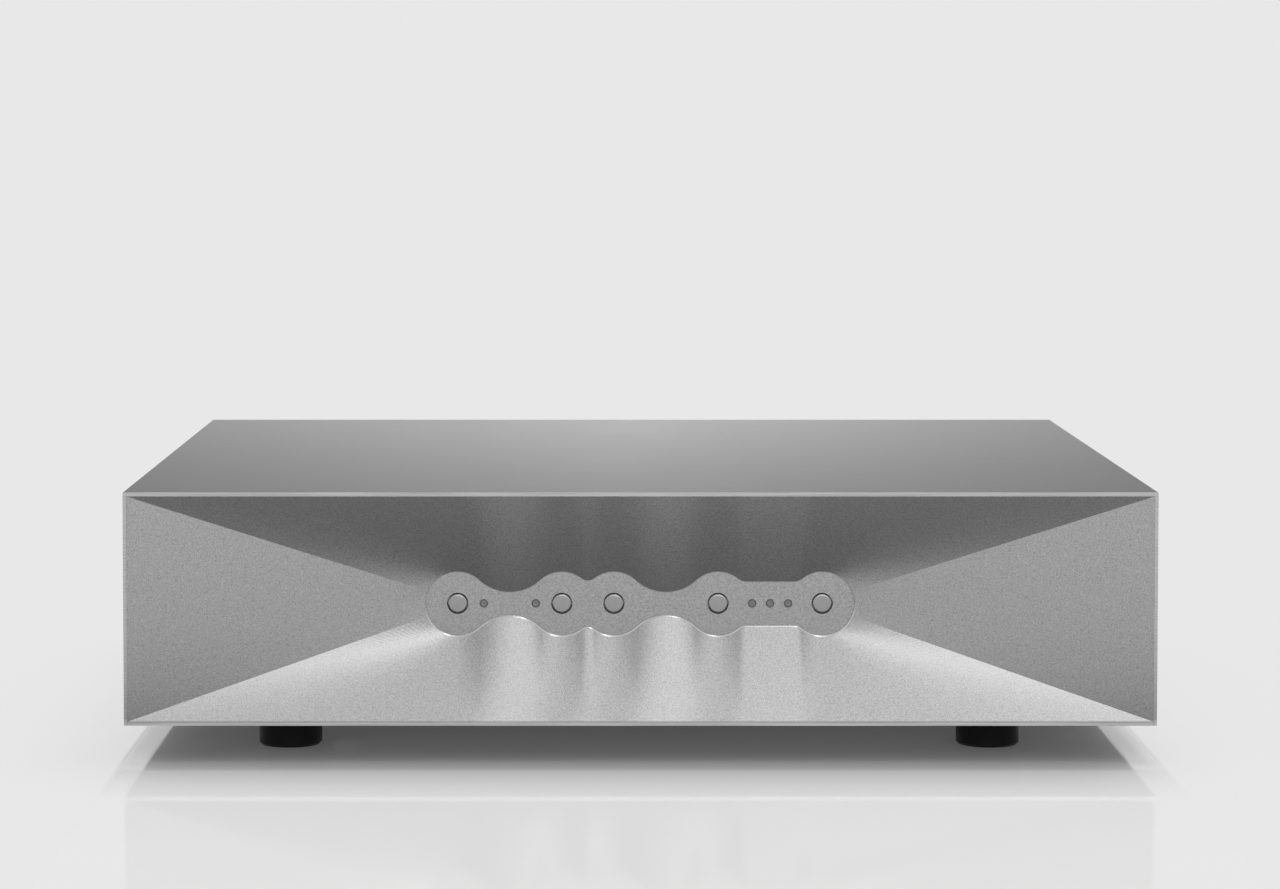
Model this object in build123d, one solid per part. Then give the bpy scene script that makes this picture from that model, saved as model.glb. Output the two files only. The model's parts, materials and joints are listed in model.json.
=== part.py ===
from build123d import *
import math
import os

# A phono preamplifier: a carved aluminium front in a thin folded case on four round feet.
# Millimetres. X runs along the width, Y from the front to the rear, Z up.
# The origin is on the floor, in the middle of the whole object's box.

os.makedirs("parts", exist_ok=True)

# Case
case_width = 432.0
case_height = 98.0
case_depth = 356.0
sheet = 1.5
fold_radius = 0.4
flange_height = 14.0
flange_gap = 2.0
rear_flange_depth = 12.0
seat_gap = 0.05
running_gap = 0.05

# Feet
foot_height = 15.0
foot_diameter = 27.0
foot_bevel = 1.0
foot_side_inset = 66.0
foot_setback = 45.0
foot_bore_depth = 9.0
foot_bore_diameter = 10.0

# Carved front
recess_depth = 17.0
island_step = 1.0
island_floor = 4.0
panel_land = 0.3
lobe_radius = 13.6
crease_angle = 23.0
lobe_pitch = 22.0
wide_valley = 5.0
notch_valley = 9.9
bridge_height = 9.4
bridge_fillet = 5.5

# Buttons and indicator lights
button_diameter = 8.2
button_hole_diameter = 9.0
button_proud = 0.6
button_edge = 0.45
button_travel = 1.0
button_flange_diameter = 11.4
button_flange = 1.2
button_stem_diameter = 3.4
button_stem_entry = 0.8
light_diameter = 3.4
light_hole_diameter = 3.6
light_recess = 0.2
light_collar_diameter = 4.8
light_collar = 1.0
light_inset = 11.0
light_row_pitch = 7.6

# Control board behind the island
pocket_width = 204.0
pocket_height = 40.0
pocket_depth = 6.5
pocket_corner = 3.0
board_margin = 9.0
board_thickness = 1.6
switch_side = 6.0
switch_height = 3.5
switch_bore_clearance = 0.8
led_side = 2.0
led_height = 1.2
led_gap = 0.3
control_screw_inset = 4.0

# Screws: thread diameter, head diameter and head height
m25 = (2.5, 4.6, 1.8)
m3 = (3.0, 5.6, 2.0)
m4 = (4.0, 7.6, 2.6)
thread_gap = 0.05
cover_screw_length = 8.0
front_screw_length = 12.0
rear_screw_length = 6.0
front_screw_side_inset = 36.0
front_screw_setback = 18.5
control_screw_length = 5.5
board_screw_length = 6.0
nut_height = 3.2
nut_flats = 7.0

# Rear sockets
jack_radius = 4.15
jack_reach = 9.0
jack_collar_radius = 6.4
jack_collar = 2.0
jack_edge = 0.4
jack_thread_radius = 3.9
jack_thread_length = 9.0
jack_bore_radius = 3.3
jack_mouth = 1.0
jack_contact_radius = 1.9
jack_pin_radius = 1.6
jack_pin_depth = 8.0
jack_tail_length = 5.0
jack_tail_radius = 1.0
jack_nut_flats = 11.0
jack_nut_height = 2.6
jack_rise = 11.0
input_jack_inset = 44.0
jack_column_pitch = 80.0

# Earth terminal
post_radius = 2.0
post_reach = 17.0
post_collar_flats = 9.0
post_collar = 3.0
thumb_nut_radius = 5.5
thumb_nut_length = 8.0
thumb_nut_ribs = 24
thumb_nut_groove = 0.35
thumb_nut_shoulder = 1.6
thumb_nut_edge = 0.6
thumb_nut_gap = 0.3

# Mains inlet with its fuse drawer
inlet_inset = 51.0
inlet_flange_width = 50.0
inlet_flange_height = 34.0
inlet_flange = 3.0
inlet_corner = 4.0
inlet_body_width = 28.0
inlet_body_height = 31.0
inlet_body_depth = 26.0
inlet_screw_spacing = 40.0
socket_width = 24.4
socket_height = 16.6
socket_depth = 17.0
socket_chamfer = 4.5
socket_drop = 5.4
blade_width = 2.0
blade_height = 4.0
blade_length = 12.5
blade_spread = 7.0
blade_offset = 2.0
blade_tail = 7.0
blade_tip = 0.5
inlet_screw_length = 8.0
drawer_width = 22.6
drawer_height = 6.6
drawer_depth = 21.0
drawer_rise = 8.4
drawer_gap = 0.1
drawer_wall = 0.9
drawer_lip = 1.5
drawer_lip_height = 1.6
drawer_lip_inset = 5.0
drawer_front_wall = 2.5
drawer_relief_inset = 4.0
fuse_radius = 2.5
fuse_length = 20.0
fuse_cap = 5.5
fuse_cap_wall = 0.3
fuse_gap = 0.3

# Mains rocker switch
rocker_pitch = 48.0
rocker_frame_width = 17.0
rocker_frame_height = 25.0
rocker_frame_lip = 1.8
rocker_frame_edge = 0.6
rocker_wall = 1.2
rocker_body_depth = 16.0
rocker_opening_width = 12.6
rocker_opening_height = 19.2
rocker_cavity_depth = 10.5
rocker_side_gap = 0.25
rocker_half_height = 8.6
rocker_end_rise = 1.0
rocker_pivot_depth = 3.0
rocker_pin_radius = 1.2
rocker_pin_length = 1.0
rocker_tilt = 9.0
rocker_keel = 4.0
rocker_keel_half = 3.0
rocker_skirt = 0.4

# Boards on the tray
standoff_height = 8.0
standoff_radius = 3.0
standoff_spigot_radius = 2.1
board_hole_inset = 6.0
middle_hole_width = 200.0
main_board_width = 244.0
main_board_depth = 190.0
main_board_side_gap = 9.5
main_board_rear_gap = 26.0
power_board_width = 114.0
power_board_depth = 104.0
power_board_side_gap = 12.5
power_board_rear_gap = 62.0

# Transformer
core_radius = 52.0
core_hole_radius = 17.0
core_height = 42.0
core_round = 9.0
core_shift = 15.0
pad_thickness = 2.5
clamp_radius = 32.0
clamp_dish = 6.0
clamp_thickness = 1.5
bolt_radius = 3.0
bolt_head_radius = 6.5
bolt_head_height = 3.5
bolt_nut_flats = 10.0
bolt_nut_height = 5.0
bolt_end = 2.0
clamp_hole_gap = 0.3
clamp_slope = 6.0

# Parts on the boards
chip_size = (6.6, 9.6, 4.2)
chip_inset = 42.0
chip_setback = 120.0
chip_pitch = (24.0, 20.0)
chip_notch = 1.0
can_size = (74.0, 62.0, 18.0)
can_wall = 0.5
can_setback = 92.0
can_shift = -12.0
relay_size = (9.0, 15.0, 10.0)
relay_inset = 15.0
relay_pitch = 17.0
relay_setback = 48.0
film_size = (18.0, 8.0, 12.0)
film_inset = 25.0
film_setback = 72.0
film_pitch = (26.0, 16.0)
signal_can_radius = 5.0
signal_can_height = 16.0
signal_can_inset = 50.0
signal_can_front = 28.0
signal_can_pitch = 18.0
reservoir_pitch = 23.0
reservoir_radius = 10.0
reservoir_height = 30.0
groove_rise = 1.6
groove_depth = 0.6
groove_half = 0.8
cap_edge = 0.8
rectifier_size = (6.0, 22.0, 15.0)
rectifier_shift = -44.0
heatsink_size = (56.0, 14.0, 30.0)
heatsink_web = 3.0
heatsink_fin = 1.4
heatsink_fins = 9
heatsink_shift = 18.0
heatsink_inset = 20.0
regulator_rise = 4.0
regulator_spread = 14.0
regulator_width = 10.0
regulator_tab = (1.3, 15.5)
regulator_body = (3.1, 9.2)
regulator_hole_rise = 12.8
regulator_hole_radius = 1.8
regulator_leg = (0.8, 0.6)
regulator_leg_pitch = 2.54
regulator_leg_setback = 2.6
terminal_pitch = 7.0
terminal_size = (9.0, 11.0)
terminal_inset = 8.0
terminal_ledge = 3.0
terminal_ledge_share = 0.6
terminal_well_radius = 1.6
terminal_well_depth = 2.0
terminal_entry_share = 0.3
transformer_ways = 4

# Leads and ribbon inside the case
lead_diameter = 1.8
lead_bend = 6.0
supply_lead_inset = 8.0
supply_lead_rise = 18.0
supply_lead_setback = 105.0
supply_lead_pitch = 8.0
signal_lead_runs = (15.0, 26.0)
ribbon_x = 20.0
ribbon_width = 16.0
ribbon_thickness = 1.0
ribbon_run = 20.0
ribbon_rise = 18.0
ribbon_bend = 10.0
header_size = (20.0, 9.0, 6.0)
header_inset = 10.0

# Places that follow from the sizes above
case_bottom = foot_height
case_top = case_bottom + case_height
mid_z = case_bottom + case_height / 2
rear_reach = max(post_reach, jack_collar + jack_reach)
front_y = -(case_depth + rear_reach) / 2
rear_y = front_y + case_depth
tray_top = case_bottom + sheet
inner_half_width = case_width / 2 - sheet
island_y = front_y + recess_depth + island_step
pocket_y = island_y + island_floor
panel_back_y = pocket_y + pocket_depth
lobe_centres = [step * lobe_pitch for step in (-3.5, -1.5, -0.5, 1.5, 3.5)]
row_middle = (lobe_centres[3] + lobe_centres[4]) / 2
light_centres = [
    lobe_centres[0] + light_inset,
    lobe_centres[1] - light_inset,
    row_middle - light_row_pitch,
    row_middle,
    row_middle + light_row_pitch,
]
board_top = tray_top + standoff_height + board_thickness
switch_bore_depth = button_stem_entry + button_travel + switch_bore_clearance
rocker_pivot_y = rear_y + rocker_frame_lip - rocker_pivot_depth - rocker_end_rise

# Places across the width, from the side walls
foot_x = case_width / 2 - foot_side_inset
front_screw_x = case_width / 2 - front_screw_side_inset
input_jack_x = case_width / 2 - input_jack_inset
output_jack_x = input_jack_x - jack_column_pitch
post_x = (input_jack_x + output_jack_x) / 2
inlet_x = inlet_inset - case_width / 2
rocker_x = inlet_x + rocker_pitch
main_board_x = inner_half_width - main_board_side_gap - main_board_width / 2
main_board_left = main_board_x - main_board_width / 2
power_board_x = power_board_side_gap + power_board_width / 2 - inner_half_width
core_x = power_board_x + core_shift

# Places along the depth, from the front and the rear
power_board_back = rear_y - power_board_rear_gap
power_board_front = power_board_back - power_board_depth
core_y = (panel_back_y + board_thickness + power_board_front) / 2
heatsink_place = (power_board_x + heatsink_shift, power_board_front + heatsink_inset)
heatsink_back = heatsink_place[1] + heatsink_size[1]
rear_terminals_front = power_board_back - terminal_inset - terminal_size[0] / 2
reservoir_y = (heatsink_back + rear_terminals_front) / 2
rectifier_place = (power_board_x + rectifier_shift, reservoir_y)


def block(low, high):
    """A box between two corners."""
    size = [b - a for a, b in zip(low, high)]
    middle = [(a + b) / 2 for a, b in zip(low, high)]
    return Pos(*middle) * Box(*size)


def rod_x(x, y, z, radius, length):
    """A cylinder that starts at the point and runs along +X."""
    return Pos(x, y, z) * Rot(Y=90) * Cylinder(radius, length, align=(Align.CENTER, Align.CENTER, Align.MIN))


def rod_y(x, y, z, radius, length):
    """A cylinder that starts at the point and runs along +Y."""
    return Pos(x, y, z) * Rot(X=-90) * Cylinder(radius, length, align=(Align.CENTER, Align.CENTER, Align.MIN))


def rod_z(x, y, z, radius, length):
    """A cylinder that starts at the point and runs along +Z."""
    return Pos(x, y, z) * Cylinder(radius, length, align=(Align.CENTER, Align.CENTER, Align.MIN))


def turned_y(x, y, z, profile):
    """A solid turned about a Y axis through the point, from (radius, distance along +Y) corners."""
    outline = make_face(Polyline(*[(radius, along) for radius, along in profile], close=True))
    return Pos(x, y, z) * revolve(outline, Axis.Y)


def turned_z(x, y, z, profile):
    """A solid turned about a Z axis through the point, from (radius, height) corners."""
    outline = make_face(Polyline(*[(radius, 0, height) for radius, height in profile], close=True))
    return Pos(x, y, z) * revolve(outline, Axis.Z)


def hexagon_z(x, y, z, flats, height):
    """A hexagonal prism that stands on the point."""
    return Pos(x, y, z) * extrude(RegularPolygon(flats / math.sqrt(3), 6), height)


def hexagon_y(x, y, z, flats, length):
    """A hexagonal prism that starts at the point and runs along +Y."""
    return Pos(x, y, z) * Rot(X=-90) * extrude(RegularPolygon(flats / math.sqrt(3), 6), length)


def save(name, *pieces):
    """Writes one sub-part; a group of like pieces stays separate solids."""
    solids = [solid for piece in pieces for solid in piece.solids()]
    export_step(solids[0] if len(solids) == 1 else Compound(solids), f"parts/{name}.step")


def four_corners(half_x, half_y):
    """The corners of a rectangle about the origin."""
    return [(sign_x * half_x, sign_y * half_y) for sign_x in (-1, 1) for sign_y in (-1, 1)]


# The island's outline, and the rim that the carved faces start from

def valley_span(left, right, low):
    """Tangent arcs from one lobe's crest down to a valley of half height low, and up to the next crest."""
    half = (right - left) / 2
    middle = (left + right) / 2
    radius = (half**2 + low**2 - lobe_radius**2) / (2 * (lobe_radius - low))
    share = lobe_radius / (lobe_radius + radius)
    meet = (half * share, (low + radius) * share)
    lean = math.atan2(half, low + radius)
    flank_middle = (lobe_radius * math.sin(lean / 2), lobe_radius * math.cos(lean / 2))
    bowl_middle = (radius * math.sin(lean / 2), low + radius - radius * math.cos(lean / 2))
    down = [
        [(left, lobe_radius), (left + flank_middle[0], flank_middle[1]), (left + meet[0], meet[1])],
        [(left + meet[0], meet[1]), (middle - bowl_middle[0], bowl_middle[1]), (middle, low)],
    ]
    return down + mirrored(down, middle)


def bridge_span(left, right):
    """From one lobe's crest down to the straight bridge between two lobes, and up again."""
    rise = bridge_height + bridge_fillet
    reach = math.sqrt((lobe_radius + bridge_fillet) ** 2 - rise**2)
    lean = math.atan2(reach, rise)
    share = lobe_radius / (lobe_radius + bridge_fillet)
    meet = (left + reach * share, rise * share)
    flank_middle = (left + lobe_radius * math.sin(lean / 2), lobe_radius * math.cos(lean / 2))
    bend_middle = (
        left + reach - bridge_fillet * math.sin(lean / 2),
        rise - bridge_fillet * math.cos(lean / 2),
    )
    down = [
        [(left, lobe_radius), flank_middle, meet],
        [meet, bend_middle, (left + reach, bridge_height)],
    ]
    straight = [(left + reach, bridge_height), (right - reach, bridge_height)]
    return down + [straight] + mirrored(down, (left + right) / 2)


def mirrored(spans, middle):
    """The same spans reflected about x = middle, in the order that carries on from them."""
    return [[(2 * middle - x, z) for x, z in reversed(span)] for span in reversed(spans)]


def end_lobe_point(angle):
    """A point on the left end lobe, at an angle in degrees above the level to its left."""
    turn = math.radians(angle)
    return (lobe_centres[0] - lobe_radius * math.cos(turn), lobe_radius * math.sin(turn))


def upper_spans():
    """The upper half from the left crease to the right crease: pairs of island span and rim span."""
    rim_x = case_width / 2 - sheet - panel_land
    rim_z = case_height / 2 - sheet - panel_land
    left = lobe_centres[0]
    shoulder = [end_lobe_point(angle) for angle in (crease_angle, (crease_angle + 90) / 2, 90)]
    rim_end = [(-rim_x, rim_z), (left, rim_z)]
    waves = valley_span(lobe_centres[0], lobe_centres[1], wide_valley)
    waves += valley_span(lobe_centres[1], lobe_centres[2], notch_valley)
    waves += valley_span(lobe_centres[2], lobe_centres[3], wide_valley)
    waves += bridge_span(lobe_centres[3], lobe_centres[4])
    edges = [[(span[0][0], rim_z), (span[-1][0], rim_z)] for span in waves]
    start = (shoulder, rim_end)
    end = tuple(mirrored([side], 0)[0] for side in start)
    return [start] + list(zip(waves, edges)) + [end]


def whole_outline():
    """All the span pairs round the island and the rim, clockwise from the upper left crease."""
    upper = upper_spans()
    lower = [tuple([(x, -z) for x, z in reversed(side)] for side in pair) for pair in reversed(upper)]
    nose_x, nose_z = end_lobe_point(0)
    right_nose = [upper[-1][0][-1], (-nose_x, nose_z), lower[0][0][0]]
    right_edge = [upper[-1][1][-1], lower[0][1][0]]
    left_nose = [lower[-1][0][-1], (nose_x, nose_z), upper[0][0][0]]
    left_edge = [lower[-1][1][-1], upper[0][1][0]]
    return upper + [(right_nose, right_edge)] + lower + [(left_nose, left_edge)]


def wire_at(y, spans):
    """A closed wire in the upright plane at y, with z counted from the case's middle."""
    edges = []
    for span in spans:
        points = [Vector(x, y, mid_z + z) for x, z in span]
        make = Edge.make_three_point_arc if len(points) == 3 else Edge.make_line
        edges.append(make(*points))
    return Wire(edges)


def make_front_panel():
    """The billet: a ruled surface falls from the rim to the lobed island, with holes and tapped seats."""
    spans = whole_outline()
    island = [pair[0] for pair in spans]
    rim = [pair[1] for pair in spans]
    seat = inner_half_width - seat_gap
    body = block((-seat, front_y, tray_top), (seat, panel_back_y, case_top - sheet - seat_gap))
    recess_y = front_y + recess_depth
    body -= Solid.make_loft([wire_at(front_y, rim), wire_at(recess_y, island)], ruled=True)
    body -= Solid.extrude(Face(wire_at(recess_y, island)), Vector(0, island_step, 0))
    half = (pocket_width / 2, pocket_height / 2)
    pocket = block((-half[0], pocket_y, mid_z - half[1]), (half[0], panel_back_y, mid_z + half[1]))
    body -= fillet(pocket.edges().filter_by(Axis.Y), pocket_corner)
    for x in lobe_centres:
        body -= rod_y(x, island_y, mid_z, button_hole_diameter / 2, island_floor)
    for x in light_centres:
        body -= rod_y(x, island_y, mid_z, light_hole_diameter / 2, island_floor)
    seat_y = panel_back_y - control_screw_length
    for x, z in control_screw_places():
        body -= rod_y(x, seat_y, z, m25[0] / 2 + thread_gap, control_screw_length)
    for x, y in front_screw_places():
        body -= tray_screw(x, y, front_screw_length + 1, thread_gap)
    for side in (-1, 1):
        body -= cover_screw(side, cover_screw_ys()[0], thread_gap)
    return body


# Places of the fasteners

def control_screw_places():
    half_x = pocket_width / 2 + board_margin - control_screw_inset
    half_z = pocket_height / 2 + board_margin - control_screw_inset
    return [(x, mid_z + z) for x in (-half_x, 0, half_x) for z in (-half_z, half_z)]


def front_screw_places():
    y = front_y + front_screw_setback
    return [(x, y) for x in (-front_screw_x, -front_screw_x / 3, front_screw_x / 3, front_screw_x)]


def rear_screw_places():
    return [(x, rear_screw_y()) for x in (-front_screw_x, 0, front_screw_x)]


def rear_screw_y():
    return rear_y - (rear_flange_depth + sheet) / 2


def cover_screw_ys():
    return [front_y + front_screw_setback, front_y + case_depth / 2, rear_screw_y()]


def cover_screw_z():
    return tray_top + flange_height / 2


def foot_places():
    middle_y = front_y + case_depth / 2
    return [(x, middle_y + y) for x, y in four_corners(foot_x, case_depth / 2 - foot_setback)]


def board_box(x, width, depth, rear_gap):
    """The low and high corners of a board on the tray."""
    high_y = rear_y - rear_gap
    low_z = tray_top + standoff_height
    return (x - width / 2, high_y - depth, low_z), (x + width / 2, high_y, low_z + board_thickness)


main_box = board_box(main_board_x, main_board_width, main_board_depth, main_board_rear_gap)
power_box = board_box(power_board_x, power_board_width, power_board_depth, power_board_rear_gap)


def board_hole_places(box):
    """The corner holes of a board, and a middle pair where it is wide."""
    low, high = box
    xs = [low[0] + board_hole_inset, high[0] - board_hole_inset]
    if high[0] - low[0] > middle_hole_width:
        xs.insert(1, sum(xs) / 2)
    return [(x, y) for x in xs for y in (low[1] + board_hole_inset, high[1] - board_hole_inset)]


# Case

def make_top_cover():
    """One folded sheet: the top and both sides, with countersunk holes low on the sides."""
    half = case_width / 2
    outer = block((-half, front_y, case_bottom), (half, rear_y, case_top))
    outer = fillet(outer.edges().filter_by(Axis.Y).group_by(Axis.Z)[-1], fold_radius)
    body = outer - block((-half + sheet, front_y, case_bottom), (half - sheet, rear_y, case_top - sheet))
    for y in cover_screw_ys():
        for side in (-1, 1):
            body -= cover_screw(side, y, thread_gap)
    return body


def countersunk(size, length, extra=0.0):
    """A flat-headed screw that points along +Z from its face; extra widens it into the hole that it fits."""
    thread, head, _ = size
    corners = [(0, 0), (head / 2 + extra, 0), (thread / 2 + extra, (head - thread) / 2 + extra),
               (thread / 2 + extra, length), (0, length)]
    return turned_z(0, 0, 0, corners)


def cover_screw(side, y, extra=0.0):
    """A screw through the cover's side, or the hole for it."""
    turn = 90 if side < 0 else -90
    place = Pos(side * case_width / 2, y, cover_screw_z()) * Rot(Y=turn)
    return place * countersunk(m3, cover_screw_length, extra)


def tray_screw(x, y, length, extra=0.0):
    """A screw flush with the tray's underside, or the hole for it."""
    return Pos(x, y, case_bottom) * countersunk(m4, length, extra)


def make_bottom_tray():
    """The floor of the case, with a low flange up each side."""
    half = inner_half_width - seat_gap
    body = block((-half, front_y, case_bottom), (half, rear_y, tray_top))
    flange_low = panel_back_y + flange_gap
    flange_high = rear_y - rear_flange_depth - flange_gap
    for side in (-1, 1):
        low_x, high_x = sorted((side * half, side * (half - sheet)))
        body += block((low_x, flange_low, tray_top), (high_x, flange_high, tray_top + flange_height))
        body -= cover_screw(side, cover_screw_ys()[1], thread_gap)
    for x, y in foot_places():
        body -= rod_z(x, y, case_bottom, m4[0] / 2 + thread_gap, sheet)
    for x, y in front_screw_places() + rear_screw_places():
        body -= tray_screw(x, y, front_screw_length, thread_gap)
    for x, y in board_hole_places(main_box) + board_hole_places(power_box):
        body -= rod_z(x, y, case_bottom, standoff_spigot_radius + thread_gap, sheet)
    body -= rod_z(core_x, core_y, case_bottom, bolt_radius + thread_gap, sheet)
    return body


def make_rear_panel():
    """A shallow folded pan: the rear wall, with flanges forward for the cover and the tray."""
    half = inner_half_width - seat_gap
    top = case_top - sheet - seat_gap
    body = block((-half, rear_y - rear_flange_depth, tray_top), (half, rear_y, top))
    wall = rear_y - sheet
    inner_low = (-half + sheet, rear_y - rear_flange_depth, tray_top + sheet)
    body -= block(inner_low, (half - sheet, wall, top - sheet))
    for x, z in jack_places():
        body -= rod_y(x, wall, z, jack_thread_radius + thread_gap, sheet)
    body -= rod_y(post_x, wall, mid_z, post_radius + thread_gap, sheet)
    half_w, half_h = inlet_body_width / 2 + seat_gap, inlet_body_height / 2 + seat_gap
    body -= block((inlet_x - half_w, wall, mid_z - half_h), (inlet_x + half_w, rear_y, mid_z + half_h))
    for x in inlet_screw_xs():
        body -= rod_y(x, wall, mid_z, m3[0] / 2 + thread_gap, sheet)
    half_w, half_h = rocker_hole()
    body -= block((rocker_x - half_w, wall, mid_z - half_h), (rocker_x + half_w, rear_y, mid_z + half_h))
    for x, y in rear_screw_places():
        body -= tray_screw(x, y, rear_screw_length, thread_gap)
    for side in (-1, 1):
        body -= cover_screw(side, cover_screw_ys()[2], thread_gap)
    return body


def screw_down(x, y, z, size, length):
    """A pan head screw: the head stands on the point and the thread runs down from it."""
    thread, head, height = size
    corners = [(0, -length), (thread / 2, -length), (thread / 2, 0), (head / 2, 0),
               (head / 2, height * 0.6), (head / 2 - height * 0.4, height), (0, height)]
    return turned_z(x, y, z, corners)


def screw_up(x, y, z, size, length):
    """The same screw turned over: the head hangs under the point."""
    return Pos(x, y, z) * Rot(X=180) * screw_down(0, 0, 0, size, length)


def screw_forward(x, y, z, size, length):
    """A pan head screw driven from the rear: the thread runs along -Y from the point."""
    return Pos(x, y, z) * Rot(X=-90) * screw_down(0, 0, 0, size, length)


# Feet

def make_foot(x, y):
    """A turned foot with a bevelled lower edge, bored from below for its screw."""
    radius = foot_diameter / 2
    bore = foot_bore_diameter / 2
    hole = m4[0] / 2 + thread_gap
    corners = [
        (bore, 0), (radius - foot_bevel, 0), (radius, foot_bevel), (radius, foot_height),
        (hole, foot_height), (hole, foot_bore_depth), (bore, foot_bore_depth),
    ]
    return turned_z(x, y, 0, corners)


# Buttons, lights and their board

def make_button(x):
    """A turned cap with a rounded edge, a collar that holds it behind the wall, and its stem."""
    radius = button_diameter / 2
    collar_y = island_floor + seat_gap
    collar_back = collar_y + button_flange
    stem_end = island_floor + pocket_depth - switch_height + button_stem_entry
    cap = rod_y(x, island_y - button_proud, mid_z, radius, button_proud + collar_y)
    cap = fillet(cap.edges().group_by(Axis.Y)[0], button_edge)
    cap += rod_y(x, island_y + collar_y, mid_z, button_flange_diameter / 2, button_flange)
    cap += rod_y(x, island_y + collar_back, mid_z, button_stem_diameter / 2, stem_end - collar_back)
    return cap


def make_switch(x):
    """A push switch on the board, with the bore that the button's stem works in."""
    high_y = panel_back_y
    low_y = high_y - switch_height
    half = switch_side / 2
    body = block((x - half, low_y, mid_z - half), (x + half, high_y, mid_z + half))
    return body - rod_y(x, low_y, mid_z, button_stem_diameter / 2 + running_gap, switch_bore_depth)


def make_light_pipe(x):
    """A clear rod from just below the island's face to the lamp, with a collar behind the wall."""
    end = panel_back_y - led_height - led_gap
    pipe = rod_y(x, island_y + light_recess, mid_z, light_diameter / 2, end - island_y - light_recess)
    return pipe + rod_y(x, pocket_y + seat_gap, mid_z, light_collar_diameter / 2, light_collar)


def make_control_board():
    half_x = pocket_width / 2 + board_margin
    half_z = pocket_height / 2 + board_margin
    low_y, high_y = panel_back_y, panel_back_y + board_thickness
    body = block((-half_x, low_y, mid_z - half_z), (half_x, high_y, mid_z + half_z))
    for x, z in control_screw_places():
        body -= rod_y(x, low_y, z, m25[0] / 2 + thread_gap, board_thickness)
    return body


# Rear sockets

def jack_places():
    return [(x, mid_z + side * jack_rise) for x in (output_jack_x, input_jack_x) for side in (-1, 1)]


def make_jack_shell(x, z):
    """A plated shell: the barrel that a plug slides over, its collar, and the thread through the wall."""
    corners = [
        (jack_bore_radius, -jack_thread_length),
        (jack_thread_radius, -jack_thread_length),
        (jack_thread_radius, 0),
        (jack_collar_radius, 0),
        (jack_collar_radius, jack_collar - jack_edge),
        (jack_collar_radius - jack_edge, jack_collar),
        (jack_radius, jack_collar),
        (jack_radius, jack_collar + jack_reach),
        (jack_bore_radius, jack_collar + jack_reach),
    ]
    return turned_y(x, rear_y, z, corners)


def make_jack_insulator(x, z):
    """The plastic core between the shell and the centre contact."""
    mouth = jack_collar + jack_reach - jack_mouth
    corners = [
        (jack_contact_radius + seat_gap, -jack_thread_length),
        (jack_bore_radius - seat_gap, -jack_thread_length),
        (jack_bore_radius - seat_gap, mouth),
        (jack_contact_radius + seat_gap, mouth),
    ]
    return turned_y(x, rear_y, z, corners)


def make_jack_contact(x, z):
    """The centre sleeve that takes a plug's pin, with its solder tail inside the case."""
    mouth = jack_collar + jack_reach - jack_mouth
    corners = [
        (0, -jack_thread_length - jack_tail_length),
        (jack_tail_radius, -jack_thread_length - jack_tail_length),
        (jack_tail_radius, -jack_thread_length),
        (jack_contact_radius, -jack_thread_length),
        (jack_contact_radius, mouth),
        (jack_pin_radius, mouth),
        (jack_pin_radius, mouth - jack_pin_depth),
        (0, mouth - jack_pin_depth),
    ]
    return turned_y(x, rear_y, z, corners)


def make_jack_nut(x, z):
    y = rear_y - sheet - jack_nut_height
    body = hexagon_y(x, y, z, jack_nut_flats, jack_nut_height)
    return body - rod_y(x, y, z, jack_thread_radius + thread_gap, jack_nut_height)


# Earth terminal

def make_ground_post():
    """A threaded stud through the rear wall, with a six-sided collar outside and a nut inside."""
    length = post_reach + sheet + nut_height
    body = rod_y(post_x, rear_y - sheet - nut_height, mid_z, post_radius, length)
    body += hexagon_y(post_x, rear_y, mid_z, post_collar_flats, post_collar)
    return body + hexagon_y(post_x, rear_y - sheet - nut_height, mid_z, nut_flats, nut_height)


def make_ground_nut():
    """A thumb nut with a grooved rim and a plain shoulder towards the wall."""
    start = rear_y + post_collar + thumb_nut_gap
    body = rod_y(post_x, start, mid_z, thumb_nut_radius, thumb_nut_length)
    body = chamfer(body.edges().group_by(Axis.Y)[-1], thumb_nut_edge)
    for step in range(thumb_nut_ribs):
        angle = 2 * math.pi * step / thumb_nut_ribs
        x = post_x + thumb_nut_radius * math.cos(angle)
        z = mid_z + thumb_nut_radius * math.sin(angle)
        body -= rod_y(x, start + thumb_nut_shoulder, z, thumb_nut_groove, thumb_nut_length)
    return body - rod_y(post_x, start, mid_z, post_radius + running_gap, thumb_nut_length)


# Mains inlet, fuse drawer and rocker switch

def inlet_screw_xs():
    return [inlet_x - inlet_screw_spacing / 2, inlet_x + inlet_screw_spacing / 2]


def socket_floor():
    return rear_y + inlet_flange - socket_depth


def make_inlet_housing():
    """A moulded flange and body, with the shaped plug socket low and the drawer's slot above it."""
    flange = extrude(RectangleRounded(inlet_flange_width, inlet_flange_height, inlet_corner), inlet_flange)
    body = Pos(inlet_x, rear_y, mid_z) * Rot(X=-90) * flange
    half_w, half_h = inlet_body_width / 2, inlet_body_height / 2
    inside_y = rear_y + inlet_flange - inlet_body_depth
    body += block((inlet_x - half_w, inside_y, mid_z - half_h), (inlet_x + half_w, rear_y, mid_z + half_h))
    half_w, half_h = socket_width / 2, socket_height / 2
    z = mid_z - socket_drop
    outer_y = rear_y + inlet_flange
    socket = block((inlet_x - half_w, socket_floor(), z - half_h), (inlet_x + half_w, outer_y, z + half_h))
    body -= chamfer(socket.edges().filter_by(Axis.Y).group_by(Axis.Z)[-1], socket_chamfer)
    body -= block(*drawer_box(drawer_gap))
    for x in inlet_screw_xs():
        body -= rod_y(x, rear_y, mid_z, m3[0] / 2 + thread_gap, inlet_flange)
    for x, z in blade_places():
        half = (blade_width / 2, blade_height / 2)
        body -= block((x - half[0], inside_y, z - half[1]), (x + half[0], socket_floor(), z + half[1]))
    return body


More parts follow.
